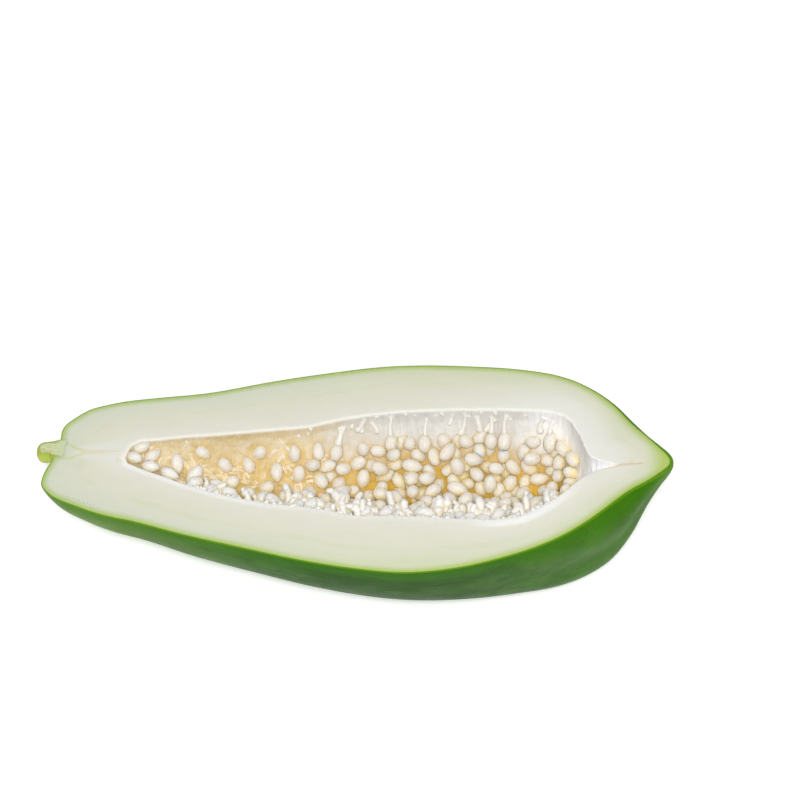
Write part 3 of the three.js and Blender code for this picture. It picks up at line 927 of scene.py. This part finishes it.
def thrown_seed(layer, numbers):
    """One seed at random on a layer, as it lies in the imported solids."""
    along = layer["start"] + (layer["end"] - layer["start"]) * next(numbers)
    angle = math.pi * next(numbers)
    lean = SEED_LEAN_MOST * next(numbers)
    turn = 2 * math.pi * next(numbers)
    size = 1 + SEED_SIZE_SPREAD * (2 * next(numbers) - 1)
    half_length, half_width = SEED_LENGTH * size / 2, SEED_WIDTH * (1 + size) / 4
    reach = math.hypot(half_length * math.sin(lean), half_width * math.cos(lean))
    inset = SEED_CLEARANCE + layer["lift"] + reach
    middle = Vector(cavity_point(along, angle, inset))
    inward = (Vector(cavity_point(along, angle, inset + 1)) - middle).normalized()
    level = Vector((1, 0, 0))
    axis = level * math.cos(turn) + inward.cross(level) * math.sin(turn)
    axis = axis * math.cos(lean) + inward * math.sin(lean)
    lies = {"along": along, "angle": angle, "inward": inward, "middle": middle, "axis": axis}
    return {**lies, "half_length": half_length, "half_width": half_width}


def clear_of(seed, others, room):
    return all((other["middle"] - seed["middle"]).length >= room for other in others)


def seeds_thrown(layer, before, numbers):
    """The seeds of a layer that land below the rim and clear of those before them."""
    seeds = []
    for _ in range(layer["tries"]):
        seed = thrown_seed(layer, numbers)
        on_far_wall = seed["middle"].y > cavity_section(seed["along"])[1]
        rise = smoothstep(seed["along"], *FAR_MARGIN_PLACES)
        far_margin = FAR_MARGINS[0] + (FAR_MARGINS[1] - FAR_MARGINS[0]) * rise
        margin = far_margin if on_far_wall else NEAR_MARGIN
        room = layer["closeness"] * float(seed_spacing(seed["along"])[0])
        if -seed["middle"].z >= margin and clear_of(seed, before + seeds, room):
            seeds.append(seed)
    return seeds


seed_numbers = draws(FIRST_DRAW)
bed_seeds = seeds_thrown(BED_SEEDS, [], seed_numbers)
upper_seeds = seeds_thrown(UPPER_SEEDS, bed_seeds, seed_numbers)
buried_seeds = seeds_thrown(BURIED_SEEDS, bed_seeds + upper_seeds, seed_numbers)
apex_seeds = []
for middle, axis in APEX_SEEDS:
    middle, axis = Vector(middle), Vector(axis).normalized()
    half_width, across, depth = (float(value) for value in cavity_section(middle.x))
    angle = math.atan2(-middle.z / depth, (middle.y - across) / half_width)
    inward = (Vector((middle.x, across, 0)) - middle).normalized()
    seed = {"along": middle.x, "angle": angle, "inward": inward, "middle": middle, "axis": axis}
    apex_seeds.append({**seed, **APEX_SIZE})
bed_seeds = [seed for seed in bed_seeds if clear_of(seed, apex_seeds, APEX_ROOM)]
all_seeds = bed_seeds + upper_seeds + buried_seeds + apex_seeds
for seed in all_seeds:
    toward_wall = -1 if seed["axis"].dot(seed["inward"]) > 0 else 1
    seed["point"] = seed["axis"] * toward_wall


class Grower:
    """A Geometry Nodes tree with named inputs, which makes one plain mesh."""

    def __init__(self, name, **sizes):
        self.tree = bpy.data.node_groups.new(name, "GeometryNodeTree")
        interface = self.tree.interface
        for way in ("INPUT", "OUTPUT"):
            interface.new_socket("Geometry", in_out=way, socket_type="NodeSocketGeometry")
        self.identifiers = {}
        self.sizes = sizes
        for size, value in sizes.items():
            kind = "NodeSocketInt" if isinstance(value, int) else "NodeSocketFloat"
            socket = interface.new_socket(size.replace("_", " "), in_out="INPUT", socket_type=kind)
            self.identifiers[size] = socket.identifier
        self.start = self.tree.nodes.new("NodeGroupInput")

    def size(self, name):
        return self.start.outputs[name.replace("_", " ")]

    def node(self, kind, settings=(), output=0, **inputs):
        made = self.tree.nodes.new(kind)
        for name, value in dict(settings).items():
            setattr(made, name, value)
        for key, value in inputs.items():
            place = int(key[1:]) if key[0] == "i" and key[1:].isdigit() else key.replace("_", " ")
            if isinstance(value, bpy.types.NodeSocket):
                self.tree.links.new(value, made.inputs[place])
            else:
                made.inputs[place].default_value = value
        return made.outputs[output]

    def math(self, operation, first, second=0.0):
        return self.node("ShaderNodeMath", {"operation": operation}, i0=first, i1=second)

    def vector_math(self, operation, vector, **inputs):
        return self.node("ShaderNodeVectorMath", {"operation": operation}, i0=vector, **inputs)

    def stored(self, name, kind):
        settings = {"data_type": kind}
        return self.node("GeometryNodeInputNamedAttribute", settings, "Attribute", Name=name)

    def lumpy(self, geometry):
        """The geometry with soft lumps, as wide and as high as the inputs say, shaded smoothly."""
        place = self.node("GeometryNodeInputPosition")
        scale = self.math("DIVIDE", 1.0, self.size("Lump_Size"))
        noise = {"Vector": place, "Scale": scale, "Detail": 1.0}
        lump = self.node("ShaderNodeTexNoise", {"noise_dimensions": "3D"}, "Color", **noise)
        lump = self.vector_math("SUBTRACT", lump, i1=(0.5, 0.5, 0.5))
        lump = self.vector_math("SCALE", lump, Scale=self.size("Lump_Height"))
        geometry = self.node("GeometryNodeSetPosition", Geometry=geometry, Offset=lump)
        return self.node("GeometryNodeSetShadeSmooth", Geometry=geometry)

    def ends_in(self, geometry, material):
        whole = self.node("GeometryNodeRealizeInstances", Geometry=geometry)
        finished = self.node("GeometryNodeSetMaterial", Geometry=whole, Material=material)
        out = self.tree.nodes.new("NodeGroupOutput")
        self.tree.links.new(finished, out.inputs[0])

    def grow(self, name, start_mesh):
        """The mesh that the tree makes of a starting mesh."""
        carrier = placed(bpy.data.objects.new(name, start_mesh))
        modifier = carrier.modifiers.new(name, "NODES")
        modifier.node_group = self.tree
        for size, value in self.sizes.items():
            modifier[self.identifiers[size]] = value
        evaluated = carrier.evaluated_get(bpy.context.evaluated_depsgraph_get())
        made = bpy.data.meshes.new_from_object(evaluated)
        carrier.modifiers.remove(modifier)
        bpy.data.objects.remove(carrier)
        made.name = name
        return made


def painted_light_near_edge(finish, along, across, above):
    """1 beside the cavity's near edge and on the slope below it, where seeds and cords get painted
    light: a whiter colour.
    """
    near_edge = finish.step(along, 112, 38) * 20 - 30
    return finish.step(across + above * 0.7 - near_edge, 11, 4)


def seed_finish():
    """Matt white seed coats with fine lines from end to end, with a painted warm shade deep in the
    heap, where neighbours close them in, and painted light by the near edge.
    """
    coat = Finish(
        "unripe_seed_coat",
        Subsurface_Weight=1.0,
        Subsurface_Scale=0.0034,
        Subsurface_Radius=(1.0, 0.92, 0.76),
        Specular_IOR_Level=0.2,
        Sheen_Weight=1.0,
        Sheen_Roughness=0.4,
        Sheen_Tint=(1.0, 0.86, 0.62, 1),
    )
    grown_at, along, across, above = coat.grown()
    own, on_seed = coat.stored("own"), coat.stored("on_seed", "Vector")
    round_x, round_y, _ = coat.parts_of(on_seed)
    turn = coat.worked_out("ARCTAN2", round_y, round_x)
    shift = coat.node("ShaderNodeCombineXYZ", inputs=dict.fromkeys(range(3), own * 40))
    shifted = coat.node("ShaderNodeVectorMath", {"operation": "ADD"}, {0: on_seed, 1: shift})
    wobble = coat.noise(shifted, 1.7, 3.0, 0.6)
    waves = (turn * 13.0 + wobble * 16).math("SINE")
    lines = waves * 0.32 + wobble * 0.7 + 0.15
    cloud = coat.noise(grown_at, 0.5, 3.0, 0.55)
    # Painted light: seeds by the near edge are whiter, and their warm crevice tint is paler.
    near_edge_painted_light = painted_light_near_edge(coat, along, across, above)
    # Painted shade: a warm golden tint on each seed, stronger the less open it is to the room
    # above.
    painted_crevice_shade = coat.step(coat.stored("openness") + (cloud - 0.5) * 0.15, 0.88, 0.2)
    golden = coat.mix(near_edge_painted_light, srgb(247, 219, 150), srgb(255, 241, 208))
    colour = coat.layered(
        srgb(234, 228, 219),
        (own, 238, 234, 226),
        (near_edge_painted_light * 0.8, 253, 251, 247),
        (coat.step(lines, 0.5, 0.85) * 0.42, 228, 211, 192),
        (coat.step(cloud, 0.45, 0.75) * 0.2, 246, 232, 208),
        (painted_crevice_shade * 0.88, golden),
    )
    relief = coat.relief((lines, 0.6, 0.0004), (cloud, 0.25, 0.0006))
    return coat.finished(Base_Color=colour, Roughness=0.5 + lines * 0.15, Normal=relief)


# One grain: a ball drawn out to a slim point at its upper end, then set on every seed's place.
seed_sizes = {"Sides": SEED_SIDES, "Rings": SEED_RINGS, "Taper": 0.34, "Point": 0.2}
heap = Grower("seed_heap", **seed_sizes, Lump_Height=0.75, Lump_Size=4)
grain = heap.node(
    "GeometryNodeMeshUVSphere", Segments=heap.size("Sides"), Rings=heap.size("Rings")
)
ball_place = heap.node("GeometryNodeInputPosition")
ball_x, ball_y, height = heap.node("ShaderNodeSeparateXYZ", i0=ball_place).node.outputs
pointed = heap.math("POWER", heap.math("MAXIMUM", height, 0.0), 4.0)
slimmer = heap.math("SUBTRACT", 1.0, heap.math("MULTIPLY", pointed, heap.size("Taper")))
longer = heap.math("ADD", height, heap.math("MULTIPLY", pointed, heap.size("Point")))
slim_x, slim_y = (heap.math("MULTIPLY", side, slimmer) for side in (ball_x, ball_y))
drawn_out = heap.node("ShaderNodeCombineXYZ", X=slim_x, Y=slim_y, Z=longer)
grain = heap.node(
    "GeometryNodeStoreNamedAttribute",
    {"data_type": "FLOAT_VECTOR", "domain": "POINT"},
    Geometry=grain,
    Name="on_seed",
    Value=ball_place,
)
grain = heap.node("GeometryNodeSetPosition", Geometry=grain, Position=drawn_out)
axis, spin = heap.stored("axis", "FLOAT_VECTOR"), heap.stored("spin", "FLOAT")
aimed = heap.node("FunctionNodeAlignRotationToVector", {"axis": "Z"}, Vector=axis)
spun = heap.node("FunctionNodeAxisAngleToRotation", Axis=(0, 0, 1), Angle=spin)
in_place = {"rotation_space": "LOCAL"}
aimed = heap.node("FunctionNodeRotateRotation", in_place, Rotation=aimed, Rotate_By=spun)
grains = heap.node(
    "GeometryNodeInstanceOnPoints",
    Points=heap.start.outputs["Geometry"],
    Instance=grain,
    Rotation=aimed,
    Scale=heap.stored("reach", "FLOAT_VECTOR"),
)
grains = heap.node("GeometryNodeRealizeInstances", Geometry=grains)
heap.ends_in(heap.lumpy(grains), seed_finish())

# How far each point of the pulp is from a seed, for its painted golden shade round the seeds.
pulp_places = read_points(placenta_mesh)
seed_gap = np.full(len(pulp_places), FAR_OFF)
for seed in all_seeds:
    gap = np.linalg.norm(pulp_places - np.array(tuple(seed["middle"])), axis=1)
    seed_gap = np.minimum(seed_gap, gap)
give(placenta_mesh, "seed_gap", seed_gap)
settle(placenta_mesh)

# ------------------------------------------------------------------------------------------------
# Cords and fibres. Soft white cords tie the seeds to the placenta, and stubs of others stand along
# the near rim where the knife pulled their seeds out. Finer curly fibres cover the narrow end.
CORD_SIDES = 9
CORD_POINTS = 13
BIT_POINTS = 6
UNDER_CORD_INSET, UNDER_CORD_WIDTHS, UNDER_CORD_REACH = 1.3, (1.05, 0.6), 0.8
CORD_SWELL = ([0, 0.16, 0.5, 0.8, 1], [0.95, 0.66, 0.85, 1.12, 1.05])
FAR_CORDS, FAR_NUBS, CRUMBS = 16, 18, 260
CORD_MEETS_SEED, CORD_ENDS_IN_SEED = 4.6, 2.7
# Rows of stubs: [from, how far they lean in, depth of their roots, room between them].
STUB_ROWS = [(64, (2, 6), (5, 9), (2.8, 6)), (96, (6, 11.5), (9, 14), (3.4, 8))]
STUBS_END = 204
BUD_WIDTH = 0.62
STUB_SIZES, STUB_CHANCES = [1.1, 1.4, 1.7, 2.0, 2.4], [0.2, 0.26, 0.26, 0.18, 0.1]
# A few stand out: [along, depth of the root, lean, rise, radius].
TALL_STUBS = [(98, 9, 9.5, 7.6, 1.5), (163, 11, 9, 9.6, 1.9)]
TALL_STUBS += [(174, 9, 7, 7.4, 1.4), (131, 9, 7.5, 7.4, 1.3)]
FIBRE_POINTS = 9
TANGLES = 36
TANGLE_ANGLES = (math.radians(18), math.radians(163))
FIBRE_SUNK = 0.6
FIBRE_SPAN = (34, 122)
FIBRE_ANGLES = (math.radians(12), math.radians(168))

chance = np.random.default_rng(19)
cord_share = np.linspace(0, 1, CORD_POINTS)
strand_points, strand_edges, strand_widths, strand_own = [], [], [], []


def strand(points, widths, blunt=True):
    """One cord through the points; a blunt one has a round end."""
    if blunt:
        from_end = np.linalg.norm(np.asarray(points) - np.asarray(points[-1]), axis=1)
        short = np.clip(1 - from_end / widths, 0, 0.99)
        widths = widths * np.sqrt(1 - short**2)
    start = len(strand_points)
    strand_points.extend(tuple(map(float, point)) for point in points)
    strand_edges.extend((start + i, start + i + 1) for i in range(len(points) - 1))
    strand_widths.extend(map(float, widths))
    strand_own.extend([float(chance.uniform())] * len(points))


def bent_line(start, end, bow, count=CORD_POINTS):
    """Points from start to end that bow out to one side."""
    start, end, bow = (np.array(place, float) for place in (start, end, bow))
    share = 1 - np.linspace(1, 0, count)[:, None] ** 1.5
    return start + (end - start) * share + bow * np.sin(math.pi * share)


def bit(start, end, bow, width):
    """A short, even scrap of cord."""
    strand(bent_line(start, end, bow, BIT_POINTS), np.full(BIT_POINTS, width))


def wall_angle(along, depth):
    """The angle of a place on the far wall at a depth below the cut."""
    return math.asin(min(0.95, depth / float(cavity_section(along)[2])))


def narrowed(along):
    """How much smaller stubs and crumbs are towards the narrow end."""
    return min(1, 0.35 + along / 190)


# The cord under each upper seed.
for seed in upper_seeds:
    root = cavity_point(seed["along"], seed["angle"], UNDER_CORD_INSET)
    tip = seed["middle"] + seed["point"] * seed["half_length"] * UNDER_CORD_REACH
    line = bent_line(root, tip, chance.normal(0, 0.5, 3))
    strand(line, np.linspace(*UNDER_CORD_WIDTHS, CORD_POINTS), blunt=False)

# Cords that run down the far wall, thin where they leave it and stout at their lower ends. Where a
# seed lies close below, the cord ends in it.
for along in np.sort(chance.uniform(114, 207, FAR_CORDS)):
    depth, length = chance.uniform(1.8, 5.5), chance.uniform(3, 8.5)
    stout = chance.uniform(0.85, 1.5)
    root = cavity_point(along, wall_angle(along, depth), 0.1)
    drift = chance.normal(-1, 2)
    end = cavity_point(along + drift, wall_angle(along, depth + length), 0.9 + 0.8 * stout)
    close = min(all_seeds, key=lambda seed: (seed["middle"] - Vector(end)).length)
    if (close["middle"] - Vector(end)).length < CORD_MEETS_SEED:
        close["point"] = (Vector(root) - close["middle"]).normalized()
        end = close["middle"] + close["point"] * CORD_ENDS_IN_SEED
    line = bent_line(root, end, (chance.normal(0, 0.7), chance.uniform(-0.9, 0.3), 0))
    strand(line, stout * np.interp(cord_share, *CORD_SWELL))


def rim_stub(along, depth, lean, rise, stout):
    """A torn, lumpy cord that stands up from the near wall, with a bud or two on its side."""
    root = cavity_point(along, math.pi - wall_angle(along, depth), 0.5)
    end = root + [chance.normal(0, 1.4), lean, rise]
    knots = [1.2, *chance.uniform(0.65, 1.2, 3), chance.uniform(0.9, 1.35), 1]
    widths = stout * np.interp(cord_share, [0, 0.2, 0.4, 0.6, 0.8, 1], knots)
    line = bent_line(root, end, chance.normal(0, 0.9, 3))
    strand(line, widths)
    for part in chance.choice([6, 8, 10, 12], chance.integers(1, 3), replace=False):
        side = chance.normal(0, 0.7, 3) * stout
        side[2] = abs(side[2]) * 0.6
        bit(line[part], line[part] + side * 1.3, (0, 0, 0), BUD_WIDTH * stout)


# Stubs along the near rim, thicker at their torn ends. They lean in over the seeds: a low row by
# the rim and a longer row behind it.
for along, reach_in, roots, room in STUB_ROWS:
    while along < STUBS_END:
        narrow = narrowed(along)
        depth = chance.uniform(*roots) * narrow
        rise = depth - chance.uniform(1.6, 3.6) - max(0, depth - 9) * 0.35
        stout = chance.choice(STUB_SIZES, p=STUB_CHANCES) * narrow
        rim_stub(along, depth, chance.uniform(*reach_in) * narrow, rise, stout)
        along += chance.uniform(*room)
for stub in TALL_STUBS:
    rim_stub(*stub)

# Crumbs of torn pulp just inside the near rim, and small nubs just under the far rim.
for along in chance.uniform(56, 207, CRUMBS):
    depth = chance.uniform(0.9, 5) * narrowed(along)
    root = cavity_point(along, math.pi - wall_angle(along, depth), -0.1)
    end = root + [chance.normal(0, 0.7), chance.uniform(0.5, 1.9), chance.uniform(0.1, 1.1)]
    end[2] = min(end[2], -0.5)
    bit(root, end, bow=chance.normal(0, 0.3, 3), width=chance.uniform(0.5, 1.15))
for along in chance.uniform(98, 209, FAR_NUBS):
    root = cavity_point(along, wall_angle(along, chance.uniform(0.8, 5)), -0.1)
    end = root + [chance.normal(0, 0.5), -chance.uniform(0.6, 1.3), -chance.uniform(0.2, 1.3)]
    bit(root, end, width=chance.uniform(0.5, 1.1), bow=chance.normal(0, 0.15, 3))

# Tangles of curly fibre half sunk in the placenta, most of them in the narrow end.
for _ in range(TANGLES):
    tangle_along = 38 + 80 * chance.uniform()
    tangle_angle = chance.uniform(*TANGLE_ANGLES)
    girth = max(float(cavity_section(tangle_along)[0]), 4)
    for _ in range(chance.integers(3, 9)):
        along = tangle_along + chance.normal(0, 1.7)
        angle = tangle_angle + chance.normal(0, 1.7) / girth
        heading = chance.uniform(0, 2 * math.pi)
        bend = chance.choice([-1, 1]) * chance.uniform(0.05, 0.35)
        pace, stout = chance.uniform(0.4, 0.9), chance.uniform(0.4, 0.85)
        arch = chance.uniform(0.2, 1.1)
        points = []
        for step in range(FIBRE_POINTS):
            along, angle = np.clip(along, *FIBRE_SPAN), np.clip(angle, *FIBRE_ANGLES)
            thick = float(pulp_height(np.array(along), np.array(angle)))
            lift = arch * math.sin(math.pi * step / (FIBRE_POINTS - 1))
            points.append(cavity_point(along, angle, thick + lift - FIBRE_SUNK))
            along += pace * math.cos(heading)
            angle += pace * math.sin(heading) / girth
            heading += bend + chance.normal(0, 0.4)
        widths = stout * np.interp(np.linspace(0, 1, FIBRE_POINTS), [0, 0.5, 1], [0.8, 1, 0.6])
        strand(points, widths, blunt=False)

# The seeds can grow now that each points towards its cord.
seed_draw = np.random.default_rng(7)
seed_places = bpy.data.meshes.new("seed_places")
seed_places.from_pydata([tuple(seed["middle"]) for seed in all_seeds], [], [])
give(seed_places, "axis", [tuple(seed["point"]) for seed in all_seeds])
reaches = [(seed["half_width"], seed["half_width"], seed["half_length"]) for seed in all_seeds]
give(seed_places, "reach", np.array(reaches) * SEED_FULLNESS)
give(seed_places, "spin", seed_draw.uniform(0, 2 * math.pi, len(all_seeds)))
give(seed_places, "own", seed_draw.uniform(0, 1, len(all_seeds)))
seeds_mesh = heap.grow("seeds", seed_places)


def cord_finish():
    """Soft, wet, almost clear white cord, with painted warm shade deep down and where it is closed
    in, and painted light by the near edge.
    """
    soft = Finish(
        "white_cord",
        Specular_IOR_Level=0.35,
        Sheen_Weight=1.0,
        Sheen_Roughness=0.4,
        Sheen_Tint=(1.0, 0.94, 0.82, 1),
    )
    grown_at, along, across, above = soft.grown()
    cloud = soft.noise(grown_at, 0.9, 3.0, 0.6)
    colour = soft.layered(
        srgb(233, 230, 224),
        (soft.stored("own"), 239, 238, 234),
        # Painted light by the near edge.
        (painted_light_near_edge(soft, along, across, above) * 0.2, 252, 251, 247),
        (soft.step(cloud, 0.4, 0.7) * 0.35, 238, 231, 217),
        (soft.step(along, 118, 70) * soft.step(above, -1.5, -4) * 0.85, 228, 211, 172),
        # Painted warm shade: deeper cords are warmer, and closed-in places more so.
        (soft.step(above, -9, -21) * 0.3, 242, 218, 168),
        (soft.step(soft.stored("openness"), 0.8, 0.1) * 0.7, 255, 238, 200),
    )
    relief = soft.relief((cloud, 0.5, 0.0006))
    return soft.finished(Base_Color=colour, Roughness=0.38 + cloud * 0.2, Normal=relief)


spinner = Grower("cord_spinner", Sides=CORD_SIDES, Thickness=1.0, Lump_Height=1.1, Lump_Size=2.2)
curves = spinner.node("GeometryNodeMeshToCurve", Mesh=spinner.start.outputs["Geometry"])
ring = spinner.node(
    "GeometryNodeCurvePrimitiveCircle",
    Resolution=spinner.size("Sides"),
    Radius=spinner.size("Thickness"),
)
tubes = spinner.node(
    "GeometryNodeCurveToMesh",
    Curve=curves,
    Profile_Curve=ring,
    Scale=spinner.stored("width", "FLOAT"),
    Fill_Caps=True,
)
spinner.ends_in(spinner.lumpy(tubes), cord_finish())
strand_lines = bpy.data.meshes.new("cord_lines")
strand_lines.from_pydata(strand_points, strand_edges, [])
give(strand_lines, "width", strand_widths)
give(strand_lines, "own", strand_own)
cords_mesh = spinner.grow("cords", strand_lines)

# How open each point is to the room above, for the painted warm shade where the seeds close it in.
OPEN_TURNS = 26
OPEN_REACH = 16
OPEN_START = 0.12
OPEN_GRAZING = 0.08
open_share = (np.arange(OPEN_TURNS) + 0.5) / OPEN_TURNS
open_turn = math.pi * (1 + 5**0.5) * np.arange(OPEN_TURNS)
open_rise = np.clip(1.1 - 1.2 * open_share, -0.2, 1)
open_out = np.sqrt(1 - open_rise**2)
open_x, open_y = np.cos(open_turn) * open_out, np.sin(open_turn) * open_out
open_ways = np.stack([open_x, open_y, open_rise], -1)


def openness(mesh, solids):
    """The share of the directions over each point that nothing solid blocks."""
    normals = read_points(mesh, "normal")
    places = read_points(mesh) + normals * OPEN_START
    facing = np.maximum(normals @ open_ways.T, 0)
    ways = [Vector(way) for way in open_ways]
    shares = np.zeros(len(places))
    for number, place in enumerate(places):
        place = Vector(place)
        for turn in np.flatnonzero(facing[number] > OPEN_GRAZING):
            if solids.ray_cast(place, ways[turn], OPEN_REACH)[0] is None:
                shares[number] += facing[number][turn]
    return shares / np.maximum(facing.sum(axis=1), 0.3 * OPEN_TURNS / 4)


around = Patches()
around.grid(wall_rows)
for mesh in (seeds_mesh, cords_mesh):
    around.add(read_points(mesh), [face.vertices for face in mesh.polygons])
solids = BVHTree.FromPolygons(np.concatenate(around.points).tolist(), around.faces)
for mesh in (seeds_mesh, cords_mesh):
    give(mesh, "openness", openness(mesh, solids))
    settle(mesh)
seeds_piece = piece("seeds", seeds_mesh)
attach(seeds_piece, "root")
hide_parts("seeds_on_placenta")
cords_piece = piece("cords_and_fibres", cords_mesh)
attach(cords_piece, "root")
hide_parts("seeds_on_placenta")

# ------------------------------------------------------------------------------------------------
# Stage: a white sweep that glows a little, a faint broad light overhead, a soft round light just
# above the camera's line of sight, and a white room. The camera looks at the half from its near
# side, half way up.
CAMERA_TURN = math.radians(13)
CAMERA_RISE = math.radians(49.5)
CAMERA_ROLL = math.radians(-9.2117)
CAMERA_DISTANCE = 1100
CAMERA_TARGET = np.array([125, 0, 0])
CAMERA_SEES_TO = 20
FRAME_PIXELS = 800
FOCAL_PIXELS = 2734.8
TARGET_PIXEL = (356.395, 455.934)
SENSOR_WIDTH = 36
FLOOR_HALF = 4.0
ROOM_GLOW = 0.3
# Each light's place in metres, width and power.
LIGHTS = {
    "overhead_softbox": [(-0.6, 0.2, 1.6), 1.4, 2],
    "front_softbox": [(0.157, -0.966, 1.401), 0.3, 22.4],
}

level = np.array([math.cos(CAMERA_TURN), math.sin(CAMERA_TURN), 0])
toward = np.array([math.sin(CAMERA_TURN), -math.cos(CAMERA_TURN), 0])
away = toward * math.cos(CAMERA_RISE) + [0, 0, math.sin(CAMERA_RISE)]
upright = np.cross(away, level)
to_right = level * math.cos(CAMERA_ROLL) + upright * math.sin(CAMERA_ROLL)
to_top = -level * math.sin(CAMERA_ROLL) + upright * math.cos(CAMERA_ROLL)
aside = (FRAME_PIXELS / 2 - TARGET_PIXEL[0]) / FOCAL_PIXELS
upward = (TARGET_PIXEL[1] - FRAME_PIXELS / 2) / FOCAL_PIXELS
sight = -away + aside * to_right + upward * to_top
sight /= np.linalg.norm(sight)
right = np.cross(sight, to_top)
right /= np.linalg.norm(right)
axes = np.array([right, np.cross(right, sight), -sight]) @ REST_TURN.T
camera_data = bpy.data.cameras.new("camera")
camera_data.lens = SENSOR_WIDTH * FOCAL_PIXELS / FRAME_PIXELS
camera_data.sensor_width = SENSOR_WIDTH
camera_data.clip_end = CAMERA_SEES_TO
camera = placed(bpy.data.objects.new("camera", camera_data))
camera.matrix_world = Matrix(axes.T.tolist()).to_4x4()
camera.location = rested(CAMERA_TARGET + CAMERA_DISTANCE * away)
bpy.context.scene.camera = camera

floor_mesh = bpy.data.meshes.new("floor")
floor_corners = np.array([(-1, -1, 0), (1, -1, 0), (1, 1, 0), (-1, 1, 0)]) * FLOOR_HALF
floor_mesh.from_pydata(floor_corners.tolist(), [], [(0, 1, 2, 3)])
sweep = Finish(
    "white_sweep",
    Base_Color=(0.95, 0.95, 0.95, 1),
    Roughness=0.9,
    Specular_IOR_Level=0.1,
    Emission_Color=(1, 1, 1, 1),
    Emission_Strength=0.28,
)
floor = piece("floor", floor_mesh, sweep.material)

for name, (place, width, power) in LIGHTS.items():
    light = bpy.data.lights.new(name, "AREA")
    light.shape, light.size, light.energy = "DISK", width, power
    lamp = placed(bpy.data.objects.new(name, light))
    lamp.location = place
    lamp.rotation_euler = (-Vector(place)).to_track_quat("-Z", "Y").to_euler()
room = bpy.data.worlds.new("white_room")
room.use_nodes = True
background = room.node_tree.nodes["Background"].inputs
background["Color"].default_value = (1, 1, 1, 1)
background["Strength"].default_value = ROOM_GLOW
bpy.context.scene.world = room
bpy.context.scene.view_settings.view_transform = "Standard"
